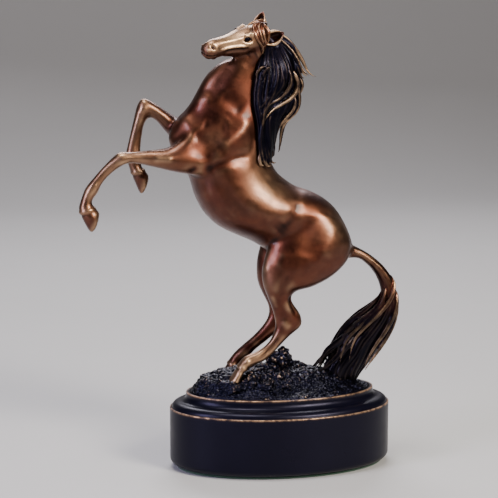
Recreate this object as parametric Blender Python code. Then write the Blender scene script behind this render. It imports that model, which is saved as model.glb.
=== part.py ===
"""A bronze statuette of a rearing horse, standing on an oval turned plinth.

The figure is a set of castings that meet at flat seams and are pinned together: torso, neck with
head, four legs, tail and mane. The hind hooves and the tail stand on a rocky ground casting, which
three screws hold down on the plinth from below. A felt pad covers the underside.

The statuette stands at the origin, on Z = 0. The horse faces -X, so its near (left) side is -Y.
Lengths are in millimetres until a mesh is made. Heights in the figure's own tables are measured from
the figure datum, the level of the gravel round the plinth's edge.
"""

import math

import bmesh
import bpy
from mathutils import Matrix, Vector

MM = 0.001

# Plinth
PLINTH_LENGTH = 142.0
PLINTH_WIDTH = 90.0
DRUM_HEIGHT = 37.3
MOULDING_HEIGHT = 9.6
MOULDING_INSET = 10.9
BOTTOM_ROUNDING = 4.6
LIP_WIDTH = 3.0
RECESS_DEPTH = 2.5
PLINTH_SIDES = 40

# Felt pad
FELT_THICKNESS = 1.5
FELT_INSET = 4.0

# Ground casting
GRAVEL_DEPTH = 1.6
MOUND_HEIGHT = 17.0
MOUND_CENTRE = (-9.0, -1.0)
MOUND_REACH = (49.0, 20.0)
MOUND_FLATNESS = 2.0
STUMP_CENTRE = (0.8, 0.0)
STUMP_HEIGHT = 9.3
STUMP_RADIUS = 5.2
STUMP_FLATNESS = 1.1
GROUND_RINGS = 14
GROUND_SIDES = 40

# Figure
FIGURE_SCALE = 1.0
FIGURE_TRIANGLES = 5600
MANE_TRIANGLES = 700
VOXEL = 1.1
LOFT_SIDES = 28
LOFT_STEPS = 4

# Fits
SEAM_GAP = 0.3
PIN_CLEARANCE = 0.3
FIT_GAP = 0.3

# Pins
DOWEL_RADIUS = 2.0
DOWEL_LENGTH = 16.0
DOWEL_OFFSETS = (-14.0, 12.0)
LEG_PIN_RADIUS = 1.4
LEG_PIN_LENGTH = 14.0
SMALL_PIN_RADIUS = 1.0
SMALL_PIN_LENGTH = 8.0
PIN_SIDES = 12

# Screws, washers and threaded inserts that hold the ground casting on the plinth
SCREW_SPACING = 34.0
SCREW_RADIUS = 2.0
SCREW_HEAD_RADIUS = 3.6
SCREW_HEAD_HEIGHT = 2.4
SCREW_GRIP = 30.0
WASHER_RADIUS = 5.0
WASHER_THICKNESS = 1.0
INSERT_RADIUS = 3.2
INSERT_LENGTH = 6.0
COUNTERBORE_RADIUS = 6.5

# Levels
PLINTH_TOP = FELT_THICKNESS + DRUM_HEIGHT + MOULDING_HEIGHT
RECESS_FLOOR = PLINTH_TOP - RECESS_DEPTH
FIGURE_DATUM = PLINTH_TOP + GRAVEL_DEPTH
GROUND_BOTTOM = RECESS_FLOOR + FIT_GAP

BRONZE = ("bronze", (0.50, 0.25, 0.13, 1.0), 0.32, 1.0)
DARK_BRONZE = ("dark_bronze", (0.055, 0.045, 0.06, 1.0), 0.38, 0.85)
GROUND_BRONZE = ("ground_bronze", (0.03, 0.03, 0.055, 1.0), 0.42, 0.7)
LACQUER = ("black_lacquer", (0.012, 0.012, 0.03, 1.0), 0.28, 0.1)
FELT = ("felt", (0.02, 0.05, 0.035, 1.0), 0.95, 0.0)
STEEL = ("steel", (0.55, 0.55, 0.56, 1.0), 0.35, 1.0)
BRASS = ("brass", (0.72, 0.52, 0.22, 1.0), 0.3, 1.0)


# ---------------------------------------------------------------- figure stations
# Each station is one cross-section: two opposite points of the outline as (x, height), then the
# section's middle in Y and half its thickness in Y, then an egg shape's fullness towards the first.

TRUNK = [  # back line, belly line
    ((-61, 164), (-70, 150), 0, 9, 0.0),
    ((-50, 168), (-69, 141), 0, 17, 0.0),
    ((-30, 164), (-60, 138), 0, 21, -0.05),
    ((-14, 154), (-57.5, 133), 0, 22, -0.15),
    ((-8, 147), (-54.5, 123), 0, 22.5, -0.2),
    ((-3, 138), (-49, 113), 0, 23.5, -0.15),
    ((3, 132.5), (-41, 105), 0, 24.5, -0.1),
    ((9.5, 128.3), (-31, 99.5), 0, 25, -0.05),
    ((16.5, 125.8), (-20, 94.5), 0, 24.5, 0.0),
    ((23, 123), (-11, 89), 0, 23, 0.1),
    ((29.5, 119), (-4, 83), 0, 22.5, 0.15),
    ((35.5, 113.3), (3, 78), 0, 22.5, 0.1),
    ((40.5, 105.5), (11, 74), 0, 21.5, 0.05),
    ((44.5, 97), (21, 72), 0, 18.5, 0.0),
    ((46.5, 90), (32, 76), 0, 13, 0.0),
    ((47, 86.5), (40, 81), 0, 6, 0.0),
]

NECK = [  # throat line, crest line
    ((-64, 146), (-12, 133), 0, 18, 0.0),
    ((-71.5, 158.5), (-9, 146), 0, 20, -0.1),
    ((-67.5, 169.5), (-6, 155), 0, 18.5, -0.1),
    ((-59, 179), (-4, 165), 0, 16, 0.0),
    ((-53.5, 188), (-3, 177), 0, 14, 0.1),
    ((-49.5, 195), (-3, 189), 0, 12.5, 0.1),
    ((-44, 201.5), (-4, 200.5), 0, 11.5, 0.1),
    ((-37, 206.5), (-6, 211), -1, 10.5, 0.05),
    ((-29, 209), (-9, 220), -2, 9.5, 0.0),
    ((-22, 212), (-12, 226), -3, 7, 0.0),
]

NEAR_FORELEG = [  # front line, back line
    ((-60, 165), (-40, 138), -12, 8, 0.0),
    ((-68, 159), (-48, 136), -13, 8.5, 0.0),
    ((-74, 155.5), (-58, 138), -13.5, 8.3, 0.0),
    ((-80, 154.7), (-69, 140), -14, 7.2, 0.0),
    ((-88, 153.9), (-80, 142.8), -14, 5.8, 0.0),
    ((-96, 153.3), (-90, 145.5), -14, 4.7, 0.0),
    ((-103.5, 153.2), (-98, 146.3), -14, 4.7, 0.0),
    ((-107.5, 150.4), (-103.3, 144), -14, 4.3, 0.0),
    ((-113, 145.3), (-108.6, 140.3), -14, 3.3, 0.0),
    ((-118.5, 139.3), (-113.5, 135.2), -14, 3.2, 0.0),
    ((-124.5, 132), (-116.8, 129.8), -14, 4.1, 0.0),
    ((-127.5, 124.5), (-120.5, 124), -14, 3.7, 0.0),
    ((-128.9, 119), (-119.6, 120.5), -14, 4.6, 0.0),
    ((-127.3, 114.5), (-116.4, 117.5), -14, 5.4, 0.0),
    ((-122.5, 105.2), (-116.4, 113.5), -14, 5.2, 0.0),
    ((-120.4, 104.6), (-118.2, 108), -14, 3.0, 0.0),
]

FAR_FORELEG = [
    ((-48, 166), (-44, 144), 12, 8, 0.0),
    ((-57, 168), (-60, 150), 13, 8.5, 0.0),
    ((-63, 171), (-68, 159), 14, 7.5, 0.0),
    ((-70, 175.7), (-72.5, 164.5), 14, 6.2, 0.0),
    ((-77, 180.3), (-77, 169.8), 14, 5.2, 0.0),
    ((-84.3, 183.8), (-80.5, 171.5), 14, 4.8, 0.0),
    ((-88.2, 179.5), (-82.5, 169.8), 14, 4.5, 0.0),
    ((-90.5, 171), (-84.3, 166), 14, 4.0, 0.0),
    ((-92.8, 162), (-85.3, 160), 14, 3.4, 0.0),
    ((-95, 153), (-86.3, 151.5), 14, 3.5, 0.0),
    ((-96, 147.5), (-85.6, 145.5), 14, 4.2, 0.0),
    ((-94.8, 144), (-86, 141.5), 14, 3.9, 0.0),
    ((-93.6, 140), (-82.2, 137), 14, 5.0, 0.0),
    ((-91.2, 133.5), (-81.2, 134), 14, 5.3, 0.0),
    ((-87.2, 124.3), (-82.2, 130), 14, 4.6, 0.0),
    ((-86.2, 123.6), (-84.2, 125.5), 14, 2.6, 0.0),
]

NEAR_HIND_LEG = [
    ((6, 118), (36, 108), -10, 10, 0.0),
    ((-2, 107), (42, 95.5), -12, 12, 0.0),
    ((-9, 96), (41.5, 83.5), -13, 13, 0.0),
    ((-13, 86), (32, 73.5), -14, 12.5, 0.0),
    ((-15.0, 77), (18, 66.5), -14.5, 11, 0.0),
    ((-14.6, 69), (7, 64.0), -15, 9, 0.0),
    ((-11.8, 61), (3.4, 60.0), -15, 6.9, 0.0),
    ((-9.6, 55.5), (4.8, 56.0), -15, 5.8, 0.0),
    ((-7.8, 50), (7.8, 51.5), -15, 5.2, 0.0),
    ((-6.9, 45.5), (10.4, 46.0), -15, 5.0, 0.0),
    ((-6.6, 41.5), (9.6, 41.0), -15, 4.8, 0.0),
    ((-7.9, 37.0), (3.4, 36.0), -15, 4.4, 0.0),
    ((-10.2, 32.6), (-2.8, 30.0), -15, 3.6, 0.0),
    ((-14.2, 28.6), (-8.0, 24.6), -15, 3.4, 0.0),
    ((-19.5, 25.8), (-13.6, 20.0), -15, 4.0, 0.0),
    ((-25.0, 23.8), (-19.8, 17.6), -15, 3.9, 0.0),
    ((-29.2, 20.2), (-24.4, 15.4), -15, 4.7, 0.0),
    ((-33.4, 12.8), (-27.2, 12.2), -15, 5.4, 0.0),
    ((-36.0, 9.0), (-28.8, 9.0), -15, 5.6, 0.0),
    ((-37.4, 5.5), (-29.4, 5.5), -15, 5.4, 0.0),
]

FAR_HIND_LEG = [
    ((6, 116), (36, 106), 10, 10, 0.0),
    ((-2, 105), (42, 93.5), 12, 12, 0.0),
    ((-8.5, 93), (42, 81), 13, 13, 0.0),
    ((-11.3, 82), (33.5, 70.5), 14, 12.5, 0.0),
    ((-12.2, 72), (21, 63.5), 14.5, 11, 0.0),
    ((-11, 64), (11, 60), 15, 9, 0.0),
    ((-8.2, 57.5), (7.5, 55.0), 15, 6.9, 0.0),
    ((-5.4, 52), (8.2, 51), 15, 5.8, 0.0),
    ((-3.9, 47), (11.6, 47), 15, 5.2, 0.0),
    ((-4.6, 42), (13.6, 42), 15, 5.0, 0.0),
    ((-6.8, 38), (9.6, 36), 15, 4.6, 0.0),
    ((-9.8, 34.3), (0.2, 30.6), 15, 4.0, 0.0),
    ((-13.8, 30.3), (-7.0, 25.2), 15, 3.6, 0.0),
    ((-19.0, 26.0), (-13.2, 20.6), 15, 3.6, 0.0),
    ((-24.0, 21.8), (-17.8, 15.8), 15, 4.2, 0.0),
    ((-27.8, 18.0), (-22.0, 12.8), 15, 4.0, 0.0),
    ((-30.6, 14), (-24.5, 9.5), 15, 4.8, 0.0),
    ((-34.5, 6.5), (-26.5, 5), 15, 5.6, 0.0),
    ((-35.5, 3.5), (-27.2, 2), 15, 5.4, 0.0),
]

TAIL = [  # outer edge, inner edge
    ((42, 92), (40, 81), 0, 5.0, 0.0),
    ((50, 87.7), (49.5, 80.8), 0, 4.2, 0.0),
    ((58.5, 82.7), (55.5, 77.7), 0, 4.0, 0.0),
    ((67, 75.5), (61.3, 71.5), 0, 4.2, 0.0),
    ((74, 65.5), (65.3, 63), 0, 4.8, 0.0),
    ((77, 53), (66, 54.5), 0, 5.5, 0.0),
    ((76, 41), (60, 47), 0, 6.5, 0.0),
    ((72.5, 29.5), (50, 40.5), 0, 7.5, 0.0),
    ((66, 20), (41.8, 33.5), 0, 8.0, 0.0),
    ((59, 12), (37, 23), 0, 8.0, 0.0),
    ((53, 6), (28, 14), 0, 7.5, 0.0),
    ((50, 1), (25, 6), 0, 7.0, 0.0),
]

MANE_RIDGE = [  # outer edge, inner edge
    ((-5, 224), (-15, 225), -3, 4.5, 0.0),
    ((2.5, 219.5), (-12, 219), -2, 6.5, 0.0),
    ((8.5, 211), (-10, 211), -2, 7.0, 0.0),
    ((12.5, 202), (-10, 202), -2, 7.5, 0.0),
    ((11.5, 193), (-10, 193), -2, 8.0, 0.0),
    ((10, 184), (-10, 183), -2, 8.0, 0.0),
    ((7, 176), (-10, 175), -2, 8.0, 0.0),
    ((0.5, 167), (-10, 166), -3, 7.5, 0.0),
    ((-2.5, 157), (-11, 157), -5, 6.5, 0.0),
    ((-4.5, 148.5), (-13, 149), -6, 5.0, 0.0),
    ((-7, 142.5), (-13, 143), -7, 3.0, 0.0),
]

MANE_DRAPE = [
    ((-6, 215), (-20, 211), -8.5, 3.5, 0.0),
    ((0, 200), (-24, 198), -10.5, 4.5, 0.0),
    ((2, 185), (-26, 184), -12.5, 5.0, 0.0),
    ((0, 172), (-26, 171), -14.5, 5.0, 0.0),
    ((-3, 160), (-24, 159), -16.0, 4.5, 0.0),
    ((-5, 149), (-19, 149), -15.0, 3.5, 0.0),
    ((-6, 143.5), (-13, 143.5), -12.0, 2.2, 0.0),
]

# The head has its own frame: it starts at the poll and runs along the nose. Each station is the
# distance from the poll, the forehead's and the jaw's height off the head's line, and half a width.
HEAD_POLL = (-12.1, -4.5, 223.0)
HEAD_YAW = 22.0
HEAD_PITCH = 8.5
HEAD_ROLL = 27.0
HEAD_SCALE = 0.87
HEAD = [
    (-3.0, 4.5, -8.0, 5.5, 0.0),
    (2.5, 7.2, -14.0, 8.0, 0.0),
    (8.0, 8.2, -17.5, 9.2, 0.15),
    (14.5, 8.2, -17.0, 9.4, 0.3),
    (20.5, 6.8, -14.0, 8.4, 0.3),
    (26.5, 5.4, -11.0, 7.0, 0.2),
    (32.5, 4.5, -9.2, 5.9, 0.1),
    (38.5, 4.3, -8.6, 5.5, 0.0),
    (43.5, 3.9, -9.2, 5.8, 0.0),
    (48.0, 1.8, -8.4, 5.2, 0.0),
    (50.8, -1.6, -6.2, 3.0, 0.0),
]
# Each ear, in the head's frame: its tip and the way it points
EAR_LENGTH = 14.0
EAR_HALF_WIDTH = 4.0
NEAR_EAR = ((-10.4, 9.5, 4.6), (-0.86, 0.23, 0.45))
FAR_EAR = ((-2.6, -7.0, 13.9), (-0.55, -0.23, 0.80))

# Seams: a point on the cut, the direction towards the limb, and what the limb takes up past it:
# its reach to either side along the cut, half its width in Y, and its length.
SEAMS = {
    "neck_and_head_casting": ((-34, 0, 163), (0.41, 0, 0.91), (-44, 44, 44, 100)),
    "near_foreleg_casting": ((-77.5, -14, 147.5), (-1, 0, 0.12), (-62, 26, 11, 60)),
    "far_foreleg_casting": ((-75.5, 14, 173.0), (-1, 0, 0), (-60, 20, 9, 36)),
    "near_hind_leg_casting": ((-5, -15, 61.0), (-0.05, 0, -1), (-19, 43, 13.5, 70)),
    "far_hind_leg_casting": ((-1, 15, 57.5), (-0.05, 0, -1), (-19, 43, 13.5, 70)),
    "tail_casting": ((50.5, 0, 84.0), (0.94, 0, -0.34), (-30, 90, 20, 60)),
}


# Pins at the seams: the casting, the pin, its radius and its length
SEAM_PINS = [
    ("near_foreleg_casting", "near_foreleg_pin", LEG_PIN_RADIUS, LEG_PIN_LENGTH),
    ("far_foreleg_casting", "far_foreleg_pin", LEG_PIN_RADIUS, LEG_PIN_LENGTH),
    ("near_hind_leg_casting", "near_hind_leg_pin", LEG_PIN_RADIUS, LEG_PIN_LENGTH),
    ("far_hind_leg_casting", "far_hind_leg_pin", LEG_PIN_RADIUS, LEG_PIN_LENGTH),
    ("tail_casting", "tail_dock_pin", SMALL_PIN_RADIUS, SMALL_PIN_LENGTH),
]
# Small pins elsewhere: two castings, the pin, its middle and its direction
OTHER_PINS = [
    ("near_hind_leg_casting", "ground_casting", "near_hoof_pin", (-31.8, -15, 10.0), (0.45, 0, 1)),
    ("far_hind_leg_casting", "ground_casting", "far_hoof_pin", (-29.2, 15, 8.4), (0.45, 0, 1)),
    ("tail_casting", "ground_casting", "tail_foot_pin", (41.0, 0, 6.0), (0, 0, 1)),
    ("mane_casting", "neck_and_head_casting", "mane_pin_1", (-4.2, -2, 203), (1, 0, 0)),
    ("mane_casting", "neck_and_head_casting", "mane_pin_2", (-3.6, -2, 179), (1, 0, 0)),
]


# ---------------------------------------------------------------- small tools


def unit(direction):
    return Vector(direction).normalized()


def figure_point(point):
    """A point of the figure in the statuette's millimetres."""
    x, y, height = point
    return Vector((x, y, height)) * FIGURE_SCALE + Vector((0, 0, FIGURE_DATUM))


def head_axes():
    """Unit vectors along the nose, to the horse's left and out of its forehead."""
    turn = Matrix.Rotation(math.radians(HEAD_YAW), 3, "Z")
    dip = Matrix.Rotation(math.radians(-HEAD_PITCH), 3, "Y")
    roll = Matrix.Rotation(math.radians(HEAD_ROLL), 3, "X")
    frame = turn @ dip @ roll
    return frame @ Vector((-1, 0, 0)), frame @ Vector((0, -1, 0)), frame @ Vector((0, 0, 1))


def head_point(along, beside, above):
    nose, left, up = head_axes()
    return Vector(HEAD_POLL) + (nose * along + left * beside + up * above) * HEAD_SCALE


def body_ring(station):
    first, second, middle, half_width, fullness = station
    a = Vector((first[0], middle, first[1]))
    b = Vector((second[0], middle, second[1]))
    return ((a + b) / 2, (a - b) / 2, Vector((0, half_width, 0)), fullness)


def head_ring(station):
    along, top, bottom, half_width, fullness = station
    _, left, up = head_axes()
    half_depth = (top - bottom) / 2 * HEAD_SCALE
    centre = head_point(along, 0, (top + bottom) / 2)
    return (centre, up * half_depth, left * half_width * HEAD_SCALE, fullness)


def between(rings, steps):
    """The rings with Catmull-Rom ones between them."""
    out = []
    for i in range(len(rings) - 1):
        four = [rings[max(i - 1, 0)], rings[i], rings[i + 1], rings[min(i + 2, len(rings) - 1)]]
        for step in range(steps):
            t = step / steps
            weights = (
                (-t + 2 * t**2 - t**3) / 2,
                (2 - 5 * t**2 + 3 * t**3) / 2,
                (t + 4 * t**2 - 3 * t**3) / 2,
                (-(t**2) + t**3) / 2,
            )
            out.append([
                sum((ring[k] * w for ring, w in zip(four[1:], weights[1:])), four[0][k] * weights[0])
                for k in range(4)
            ])
    out.append(list(rings[-1]))
    return out


def add_loft(bm, rings, sides=LOFT_SIDES, steps=LOFT_STEPS):
    """Adds one closed shell through the rings, in figure millimetres."""
    loops = []
    for centre, towards, across, fullness in between(rings, steps):
        loop = []
        for i in range(sides):
            angle = 2 * math.pi * i / sides
            side = math.sin(angle) * (1 + fullness * math.cos(angle))
            loop.append(bm.verts.new(centre + towards * math.cos(angle) + across * side))
        loops.append(loop)
    faces = [bm.faces.new(loops[0]), bm.faces.new(loops[-1])]
    for a, b in zip(loops, loops[1:]):
        for i in range(sides):
            j = (i + 1) % sides
            faces.append(bm.faces.new((a[i], a[j], b[j], b[i])))
    bmesh.ops.recalc_face_normals(bm, faces=faces)


def ear_rings(tip, direction):
    """A leaf-shaped ear that ends at its tip, both given in the head's frame."""
    nose, left, up = head_axes()
    end = head_point(*tip)
    along = (nose * direction[0] + left * direction[1] + up * direction[2]).normalized()
    across = along.cross(nose).normalized()
    depth = across.cross(along).normalized()
    length = EAR_LENGTH * HEAD_SCALE
    half_width = EAR_HALF_WIDTH * HEAD_SCALE
    shape = ((0.0, 0.75), (0.25, 1.0), (0.5, 0.95), (0.75, 0.62), (0.93, 0.28), (1.0, 0.08))
    return [
        (end - along * length * (1 - t), across * half_width * w, depth * half_width * 0.62 * w, 0.0)
        for t, w in shape
    ]


def new_object(name, bm):
    """An object from a bmesh in millimetres."""
    bm.transform(Matrix.Scale(MM, 4))
    mesh = bpy.data.meshes.new(name)
    bm.to_mesh(mesh)
    bm.free()
    made = bpy.data.objects.new(name, mesh)
    bpy.context.scene.collection.objects.link(made)
    return made


def helper(made):
    """Marks a cutter or a guide, which isn't part of the object."""
    made.hide_render = True
    made.display_type = "WIRE"
    return made


def evaluated_copy(source, name):
    """A new object whose mesh is what the source's modifiers make."""
    bpy.context.view_layer.update()
    graph = bpy.context.evaluated_depsgraph_get()
    mesh = bpy.data.meshes.new_from_object(source.evaluated_get(graph))
    mesh.name = name
    made = bpy.data.objects.new(name, mesh)
    made.matrix_world = source.matrix_world
    bpy.context.scene.collection.objects.link(made)
    return made


def boolean(target, cutter, operation="DIFFERENCE"):
    modifier = target.modifiers.new(f"{operation.lower()}_{cutter.name}", "BOOLEAN")
    modifier.operation = operation
    modifier.solver = "EXACT"
    modifier.object = cutter


def fused(name, lofts, triangles):
    """One skin over several lofts, as a mesh of about that many triangles.

    It is made in the figure's own frame and then moved, so it has the same facets at every size.
    """
    bm = bmesh.new()
    for rings in lofts:
        add_loft(bm, rings)
    rough = helper(new_object(name + "_lofts", bm))
    remesh = rough.modifiers.new("skin", "REMESH")
    remesh.mode = "VOXEL"
    remesh.voxel_size = VOXEL * MM
    smooth = rough.modifiers.new("blend", "SMOOTH")
    smooth.factor = 0.5
    smooth.iterations = 4
    thin = rough.modifiers.new("thin", "DECIMATE")
    thin.ratio = min(1.0, triangles / triangle_count(rough))
    thin.use_collapse_triangulate = True
    made = helper(evaluated_copy(rough, name))
    place = Matrix.Translation((0, 0, FIGURE_DATUM * MM)) @ Matrix.Scale(FIGURE_SCALE, 4)
    made.data.transform(place)
    return made


def triangle_count(source):
    """How many triangles the source's modifiers make."""
    bpy.context.view_layer.update()
    graph = bpy.context.evaluated_depsgraph_get()
    evaluated = source.evaluated_get(graph)
    mesh = evaluated.to_mesh()
    mesh.calc_loop_triangles()
    count = len(mesh.loop_triangles)
    evaluated.to_mesh_clear()
    return count


def cylinder(name, centre, axis, radius, length, sides=PIN_SIDES):
    """A cylinder centred on a point, in the statuette's millimetres."""
    bm = bmesh.new()
    bmesh.ops.create_cone(
        bm, cap_ends=True, segments=sides, radius1=radius, radius2=radius, depth=length
    )
    turn = Vector((0, 0, 1)).rotation_difference(Vector(axis)).to_matrix().to_4x4()
    bm.transform(Matrix.Translation(centre) @ turn)
    return new_object(name, bm)


def ellipse(half_length, half_width, level, sides):
    return [
        Vector((
            half_length * math.cos(2 * math.pi * i / sides),
            half_width * math.sin(2 * math.pi * i / sides),
            level,
        ))
        for i in range(sides)
    ]


def oval_solid(name, profile, half_length, half_width, sides):
    """A closed oval solid through (inset, level) rings, from the underside's rim to the top's."""
    bm = bmesh.new()
    loops = [
        [bm.verts.new(p) for p in ellipse(half_length - inset, half_width - inset, level, sides)]
        for inset, level in profile
    ]
    bm.faces.new(loops[0])
    bm.faces.new(loops[-1])
    for a, b in zip(loops, loops[1:]):
        for i in range(sides):
            j = (i + 1) % sides
            bm.faces.new((a[i], a[j], b[j], b[i]))
    bmesh.ops.recalc_face_normals(bm, faces=bm.faces[:])
    return new_object(name, bm)


def finish(made, material):
    """Gives a piece its material, and smooth shading with sharp edges where it has them."""
    name, colour, roughness, metallic = material
    stored = bpy.data.materials.get(name)
    if stored is None:
        stored = bpy.data.materials.new(name)
        stored.use_nodes = True
        shader = stored.node_tree.nodes["Principled BSDF"]
        shader.inputs["Base Color"].default_value = colour
        shader.inputs["Roughness"].default_value = roughness
        shader.inputs["Metallic"].default_value = metallic
        stored.diffuse_color = colour
    made.data.materials.clear()
    made.data.materials.append(stored)
    made.data.shade_smooth()
    return made


# ---------------------------------------------------------------- figure


def seam_box(name, seam, start):
    """A box that takes in all that lies beyond a seam, from `start` mm past it."""
    centre, normal, (low, high, half_y, reach) = seam
    normal = unit(normal)
    bm = bmesh.new()
    bmesh.ops.create_cube(bm, size=1.0)
    size = Vector((high - low, 2 * half_y, reach)) * FIGURE_SCALE
    middle = Vector(((high + low) / 2 * FIGURE_SCALE, 0, size.z / 2 + start))
    # The box stands on the seam, with its own Y kept along the statuette's Y.
    side = Vector((0, 1, 0))
    across = side.cross(normal)
    turn = Matrix((across, side, normal)).transposed().to_4x4()
    place = Matrix.Translation(middle) @ Matrix.Diagonal((*size, 1))
    bm.transform(Matrix.Translation(figure_point(centre)) @ turn @ place)
    return helper(new_object(name, bm))


def pin_in_hole(name, pieces, centre, axis, radius, length, material=STEEL):
    """A pin through a point, and a hole for it in each of the pieces."""
    pin = cylinder(name, centre, axis, radius, length)
    hole_radius = radius + PIN_CLEARANCE
    hole = helper(cylinder(name + "_hole", centre, axis, hole_radius, length + 2 * PIN_CLEARANCE))
    for piece in pieces:
        boolean(piece, hole)
    return finish(pin, material)


def build_figure():
    skin = fused(
        "figure_skin",
        [
            [body_ring(s) for s in TRUNK],
            [body_ring(s) for s in NECK],
            [body_ring(s) for s in NEAR_FORELEG],
            [body_ring(s) for s in FAR_FORELEG],
            [body_ring(s) for s in NEAR_HIND_LEG],
            [body_ring(s) for s in FAR_HIND_LEG],
            [body_ring(s) for s in TAIL],
            [head_ring(s) for s in HEAD],
            ear_rings(*NEAR_EAR),
            ear_rings(*FAR_EAR),
        ],
        FIGURE_TRIANGLES,
    )
    pieces = {}
    torso = evaluated_copy(skin, "torso_casting")
    for name, seam in SEAMS.items():
        piece = evaluated_copy(skin, name)
        boolean(piece, seam_box(name + "_region", seam, SEAM_GAP / 2), "INTERSECT")
        boolean(torso, seam_box(name + "_cut", seam, -SEAM_GAP / 2))
        pieces[name] = piece
    pieces["torso_casting"] = torso

    mane = evaluated_copy(
        fused(
            "mane_skin",
            [[body_ring(s) for s in MANE_RIDGE], [body_ring(s) for s in MANE_DRAPE]],
            MANE_TRIANGLES,
        ),
        "mane_casting",
    )
    swollen = helper(evaluated_copy(skin, "skin_with_gap"))
    swell = swollen.modifiers.new("gap", "DISPLACE")
    swell.strength = SEAM_GAP * MM
    swell.mid_level = 0.0
    boolean(mane, swollen)
    pieces["mane_casting"] = mane
    return pieces


# ---------------------------------------------------------------- ground


def ground_height(x, y):
    """The ground's height above the figure datum. It grows with the figure that stands on it."""
    x, y = x / FIGURE_SCALE, y / FIGURE_SCALE
    dx = (x - MOUND_CENTRE[0]) / MOUND_REACH[0]
    dy = (y - MOUND_CENTRE[1]) / MOUND_REACH[1]
    mound = MOUND_HEIGHT * math.exp(-((dx**2 + dy**2) ** MOUND_FLATNESS))
    sx = (x - STUMP_CENTRE[0]) / STUMP_RADIUS
    sy = (y - STUMP_CENTRE[1]) / STUMP_RADIUS
    stump = STUMP_HEIGHT * math.exp(-((sx**2 + sy**2) ** STUMP_FLATNESS))
    return FIGURE_SCALE * (mound + stump)


def ground_solid(name, raise_by=0.0):
    """The rocky mound that fills the plinth's recess. Raised, it cuts what stands on it."""
    half_length = PLINTH_LENGTH / 2 - MOULDING_INSET - LIP_WIDTH - FIT_GAP
    half_width = PLINTH_WIDTH / 2 - MOULDING_INSET - LIP_WIDTH - FIT_GAP
    bm = bmesh.new()
    foot = [bm.verts.new(p) for p in ellipse(half_length, half_width, GROUND_BOTTOM, GROUND_SIDES)]
    bm.faces.new(foot)
    loops = [foot]
    for ring in range(GROUND_RINGS, 0, -1):
        share = ring / GROUND_RINGS
        loop = []
        for p in ellipse(half_length * share, half_width * share, 0, GROUND_SIDES):
            edge = min(1.0, (1 - share) * GROUND_RINGS)
            p.z = PLINTH_TOP + raise_by + edge * (GRAVEL_DEPTH + ground_height(p.x, p.y))
            loop.append(bm.verts.new(p))
        loops.append(loop)
    for a, b in zip(loops, loops[1:]):
        for i in range(GROUND_SIDES):
            j = (i + 1) % GROUND_SIDES
            bm.faces.new((a[i], a[j], b[j], b[i]))
    peak = bm.verts.new((0, 0, PLINTH_TOP + raise_by + GRAVEL_DEPTH + ground_height(0, 0)))
    for i in range(GROUND_SIDES):
        bm.faces.new((loops[-1][i], loops[-1][(i + 1) % GROUND_SIDES], peak))
    bmesh.ops.recalc_face_normals(bm, faces=bm.faces[:])
    return new_object(name, bm)


# ---------------------------------------------------------------- plinth and fixings


def quarter(start, end, steps, ovolo):
    """Points of a quarter ellipse between two (inset, level) points.

    An ovolo leaves the start upwards and swells outwards. Otherwise it leaves the start inwards and is
    a cove above the start, or a rounded edge below it.
    """
    out = []
    for i in range(1, steps + 1):
        angle = math.pi / 2 * i / steps
        a, b = (1 - math.cos(angle), math.sin(angle)) if ovolo else (math.sin(angle), 1 - math.cos(angle))
        out.append((start[0] + (end[0] - start[0]) * a, start[1] + (end[1] - start[1]) * b))
    return out


def plinth_profile():
    bottom = FELT_THICKNESS + FIT_GAP
    rim = FELT_THICKNESS + DRUM_HEIGHT
    shoulder = (0.62 * MOULDING_INSET, rim + 0.4 * MOULDING_HEIGHT)
    top_edge = (MOULDING_INSET, PLINTH_TOP)
    profile = [(BOTTOM_ROUNDING, bottom)]
    profile += quarter((BOTTOM_ROUNDING, bottom), (0, bottom + BOTTOM_ROUNDING), 3, False)
    profile += [(0, rim)]
    profile += quarter((0, rim), shoulder, 3, True)
    profile += quarter(shoulder, top_edge, 3, False)
    profile += [
        (MOULDING_INSET + LIP_WIDTH, PLINTH_TOP),
        (MOULDING_INSET + LIP_WIDTH, RECESS_FLOOR),
    ]
    return profile


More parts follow.
